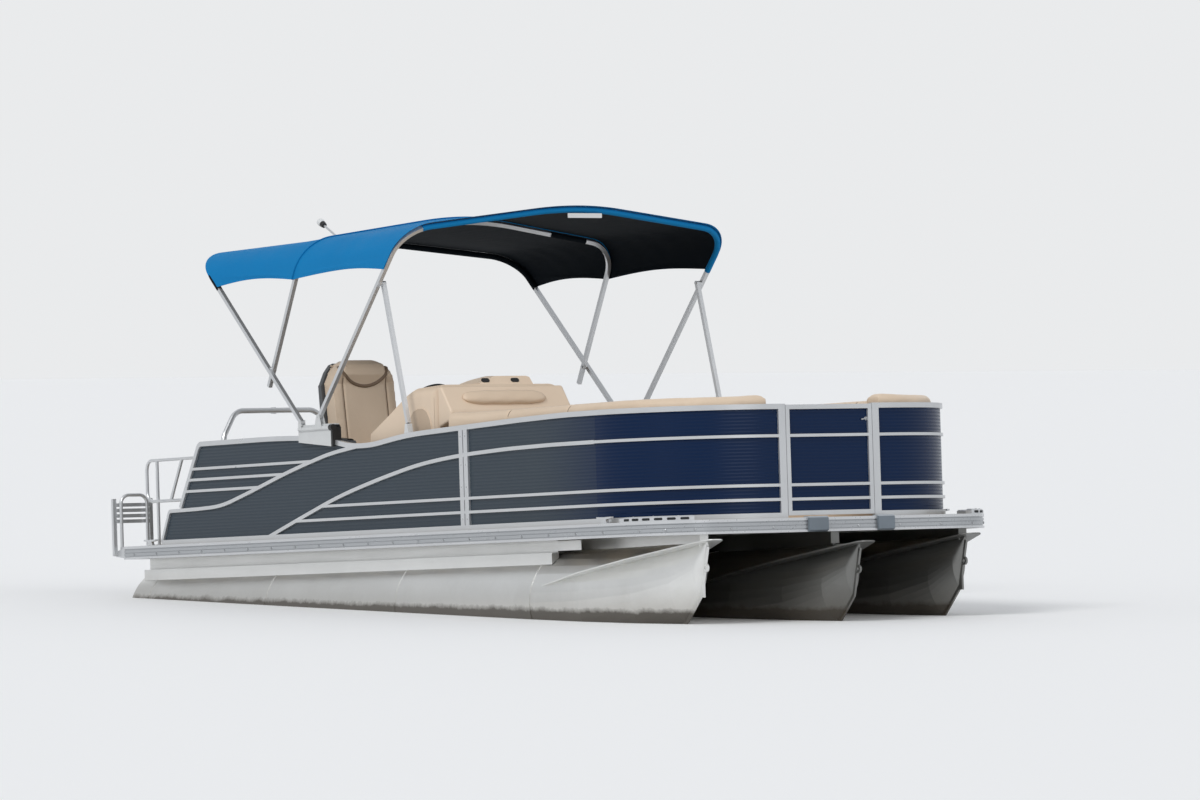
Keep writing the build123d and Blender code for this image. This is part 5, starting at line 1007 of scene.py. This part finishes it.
def canopy_sheet(solid, aft_arch, aft_ahead, fore_arch, fore_ahead, seed):
    """Adds one panel of the canopy as a thin shell: slot 0 outside, slot 1 inside."""
    count = len(arch_places(aft_arch, CLOTH_OFF))
    layers = []
    for side in (1, -1):
        rows = []
        for run in range(RUN_STEPS + 1):
            share = run / RUN_STEPS
            slack = math.sin(math.pi * share)
            # gather the cloth in toward the arches, so that it spans between them in a shallow valley
            outward = CLOTH_OFF + side * CLOTH_HALF - SAG * slack
            hem = HEM_Z + HEM_RISE * slack
            aft = arch_places(aft_arch, outward, aft_ahead, CLOTH_LIFT, hem)
            fore = arch_places(fore_arch, outward, fore_ahead, CLOTH_LIFT, hem)
            row = []
            for index, (start, end) in enumerate(zip(aft, fore)):
                spot = start.lerp(end, share)
                down = min(index, count - 1 - index) / count
                out = (spot - Vector((spot.x, 0, spot.z - 0.6))).normalized()
                phase = seed + (1.7 if index < count / 2 else 0.0)
                row.append(solid.verts.new(spot + out * creased(share, down, phase) * slack))
            rows.append(row)
        layers.append(rows)
    outer, inner = layers
    for layer, slot in ((outer, 0), (inner, 1)):
        for row, following in zip(layer, layer[1:]):
            strip(solid, row, following, slot)
    # the front edge is turned in, blue side down, so the painted shade of the inside stops short of it
    if fore_arch is FRONT_ARCH:
        for vertex in inner[-2] + inner[-1]:
            for face in vertex.link_faces:
                face.material_index = 0
    for end in (0, -1):
        strip(solid, outer[end], inner[end])
        strip(solid, [row[end] for row in outer], [row[end] for row in inner])


def woven(name, colour, worn, roughness):
    """Woven acrylic: a fine plain weave, faded a little in slow patches."""
    cloth, tree, shader = new_finish(name, Roughness=roughness, Specular_IOR_Level=0.15)
    spot = surface_spot(tree)
    streaks = place(tree, "Mapping", {"Vector": spot, "Scale": (2.0, 9.0, 2.0)}).outputs[0]
    fine = raised(tree, cells(tree, spot, 620.0), 0.18, 0.0008)
    feed(shader, Base_Color=mixed(tree, noise(tree, spot, 1.8, 5.0), colour, worn),
         Normal=raised(tree, noise(tree, streaks, 2.4, 4.0, Distortion=0.6), 0.3, 0.012, Normal=fine))
    return cloth


def sleeve(name, body, arch, finish, start=-2.0, end=2.0):
    """Cloth sewn round an arch, between two places across the boat."""
    solid = bmesh.new()
    bead(solid, [spot for spot in arch_places(arch, 0.0) if start <= spot.y <= end], SLEEVE_R, steps=14)
    return new_piece(name, body, [finish], solid)


canvas_blue = woven("canvas_blue", BLUE, BLUE_WORN, 0.8)
canvas_inside_shade = woven("canvas_inside_shade", INSIDE_PAINTED_SHADE, INSIDE_PAINTED_SHADE_WORN, 0.9)
canopy = {}
for name, node, aft_arch, aft_ahead, fore_arch, fore_ahead, seed in PANELS:
    solid = bmesh.new()
    canopy_sheet(solid, aft_arch, aft_ahead, fore_arch, fore_ahead, seed)
    canopy[name] = new_shape(name, [canvas_blue, canvas_inside_shade], solid, 50)
    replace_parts(canopy[name], node)
# the rear and middle sleeves, under the canopy, carry the painted shade of the inside
rear_sleeve = sleeve("rear_sleeve", "hull", REAR_ARCH, canvas_inside_shade)
front_sleeve = sleeve("front_sleeve", "bimini_front", FRONT_ARCH, canvas_blue, start=-1.108)
sleeve("mid_sleeve_starboard", "bimini_mid", MID_ARCH, canvas_inside_shade, -0.98, -0.66)
sleeve("mid_sleeve_port", "bimini_mid", MID_ARCH, canvas_inside_shade, 0.66, 0.98)
seam = bmesh.new()
bead(seam, arch_places(MID_ARCH, CLOTH_OFF + 0.0025, 0.0, CLOTH_LIFT), 0.009, flat=0.32, steps=10)
mid_seam = new_piece("canopy_seam", "bimini_mid", [canvas_blue], seam)
patch = bmesh.new()
plate(patch, pill(0.261, 0.030, 0.004), (0.520, 0.0455, 2.502), (0, 1, 0), (0, 0, 1), 0.002)
front_patch = new_piece("hem_patch", "bimini_front", [white_mark], patch)

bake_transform(canopy["canopy_aft"])
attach(canopy["canopy_fore"], "bimini_front")
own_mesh(canopy["canopy_fore"])


# The light on the rear arch: a white globe over a dark collar, on a bright metal rod.
# The rod is stepped in a clamp block, which is bolted to the arch's crown.
REAR_RISE = Vector((REAR_ARCH[2] - REAR_ARCH[0], 0, REAR_ARCH[3] - REAR_ARCH[1])).normalized()
REAR_OUT = Vector((-REAR_RISE.z, 0, REAR_RISE.x))
CROWN = Vector((REAR_ARCH[2], 0, REAR_ARCH[3]))
POLE_FOOT = CROWN + REAR_OUT * 0.036
POLE_TIP = Vector((-2.727, 0, 2.670))
POLE_RUN = (POLE_TIP - POLE_FOOT).normalized()
POLE_LENGTH = 0.425
COLLAR_TOP = POLE_LENGTH - 0.050
ROD = ((-0.012, 0.010), (0, 0.012), (0.006, 0.0085), (POLE_LENGTH - 0.075, 0.0085))
COLLAR = ((COLLAR_TOP - 0.034, 0.010), (COLLAR_TOP - 0.030, 0.018), (COLLAR_TOP - 0.010, 0.022), (COLLAR_TOP, 0.022))
GLOBE = ((COLLAR_TOP, 0.020), (COLLAR_TOP + 0.006, 0.0245), (COLLAR_TOP + 0.022, 0.0258), (COLLAR_TOP + 0.038, 0.0235),
         (COLLAR_TOP + 0.047, 0.015), (POLE_LENGTH, 0.006))
light = bmesh.new()
for slot, (profile, steps) in enumerate(((ROD, 20), (COLLAR, 24), (GLOBE, 24))):
    turned(light, POLE_FOOT, POLE_RUN, profile, steps, slot)
plate(light, pill(0.036, 0.028, 0.006), CROWN + REAR_OUT * 0.0145, (0, 1, 0), REAR_RISE, -0.036, slot=1)
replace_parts(new_piece("stern_light", "hull", [bar_metal, black_shell, white_mark], light), "light_pole")


# The outboard's cowl: a smooth glossy moulding over the powerhead, parted by a seam, with vents and a
# carrying grip behind. The bracket below it is held to the transom pod by four bolts.
# Columns: Z, fore X, aft X, half width
COWL = (
    (0.5205, -3.645, -4.005, 0.146), (0.560, -3.622, -4.040, 0.172), (0.620, -3.612, -4.066, 0.192),
    (0.700, -3.611, -4.076, 0.196), (0.800, -3.612, -4.085, 0.197), (0.890, -3.613, -4.092, 0.197),
    (0.950, -3.632, -4.074, 0.180), (1.000, -3.656, -4.048, 0.162), (1.030, -3.694, -4.020, 0.138),
    (1.045, -3.730, -3.992, 0.112), (1.051, -3.770, -3.950, 0.070),
)
COWL_POWER = 2 / 3.2
COWL_SIDES = 56
COWL_SEAM = (0.640, -3.6115, -4.069, 0.193, -0.001)
COWL_VENTS = 5
VENT_LINE = (-0.085, -0.05, 0, 0.05, 0.085)
COWL_GRIP = ((-4.071, -0.075, 0.735), (-4.083, -0.060, 0.722), (-4.084, 0, 0.717), (-4.083, 0.060, 0.722),
             (-4.071, 0.075, 0.735))
BRACKET_BOLT = ((0, 0.013), (0.008, 0.013), (0.0085, 0.010), (0.014, 0.009))
# Columns: X, Z
BRACKET_BOLTS = ((-3.606, 0.130), (-3.626, 0.330))


def cowl_ring(z, fore, aft, half, grow=0.0):
    """Places round the cowl at one height: a rectangle with full round corners."""
    long = (fore - aft) / 2 + grow
    return [Vector(((fore + aft) / 2 + squared(c, COWL_POWER) * long, squared(s, COWL_POWER) * (half + grow), z))
            for c, s in full_turn(COWL_SIDES)]


cowl = bmesh.new()
skinned(cowl, [[cowl.verts.new(spot) for spot in cowl_ring(*level)] for level in COWL])
cowl_piece = new_piece("cowl_shell", "motor", [motor_paint], cowl, sharp=60)
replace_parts(cowl_piece, "motor_cowl")
cowl_trim = bmesh.new()
bead(cowl_trim, cowl_ring(*COWL_SEAM), 0.004, closed=True, flat=0.8, steps=6)
for row in range(COWL_VENTS):
    aft = -4.0905 + 0.0052 * max(row - 0.5, 0)
    bead(cowl_trim, [(aft - 0.0005, y, 0.900 + 0.014 * row) for y in VENT_LINE], 0.0034, flat=0.8)
bead(cowl_trim, COWL_GRIP, 0.008, flat=0.8)
new_piece("cowl_trim", "motor", [black_shell], cowl_trim)
bracket_bolts = bmesh.new()
for x, z in BRACKET_BOLTS:
    for y in (-0.084, 0.084):
        turned(bracket_bolts, (x, y, z), (-1, 0, 0), BRACKET_BOLT, 12)
new_piece("bracket_bolts", "hull", [bolt_steel], bracket_bolts)
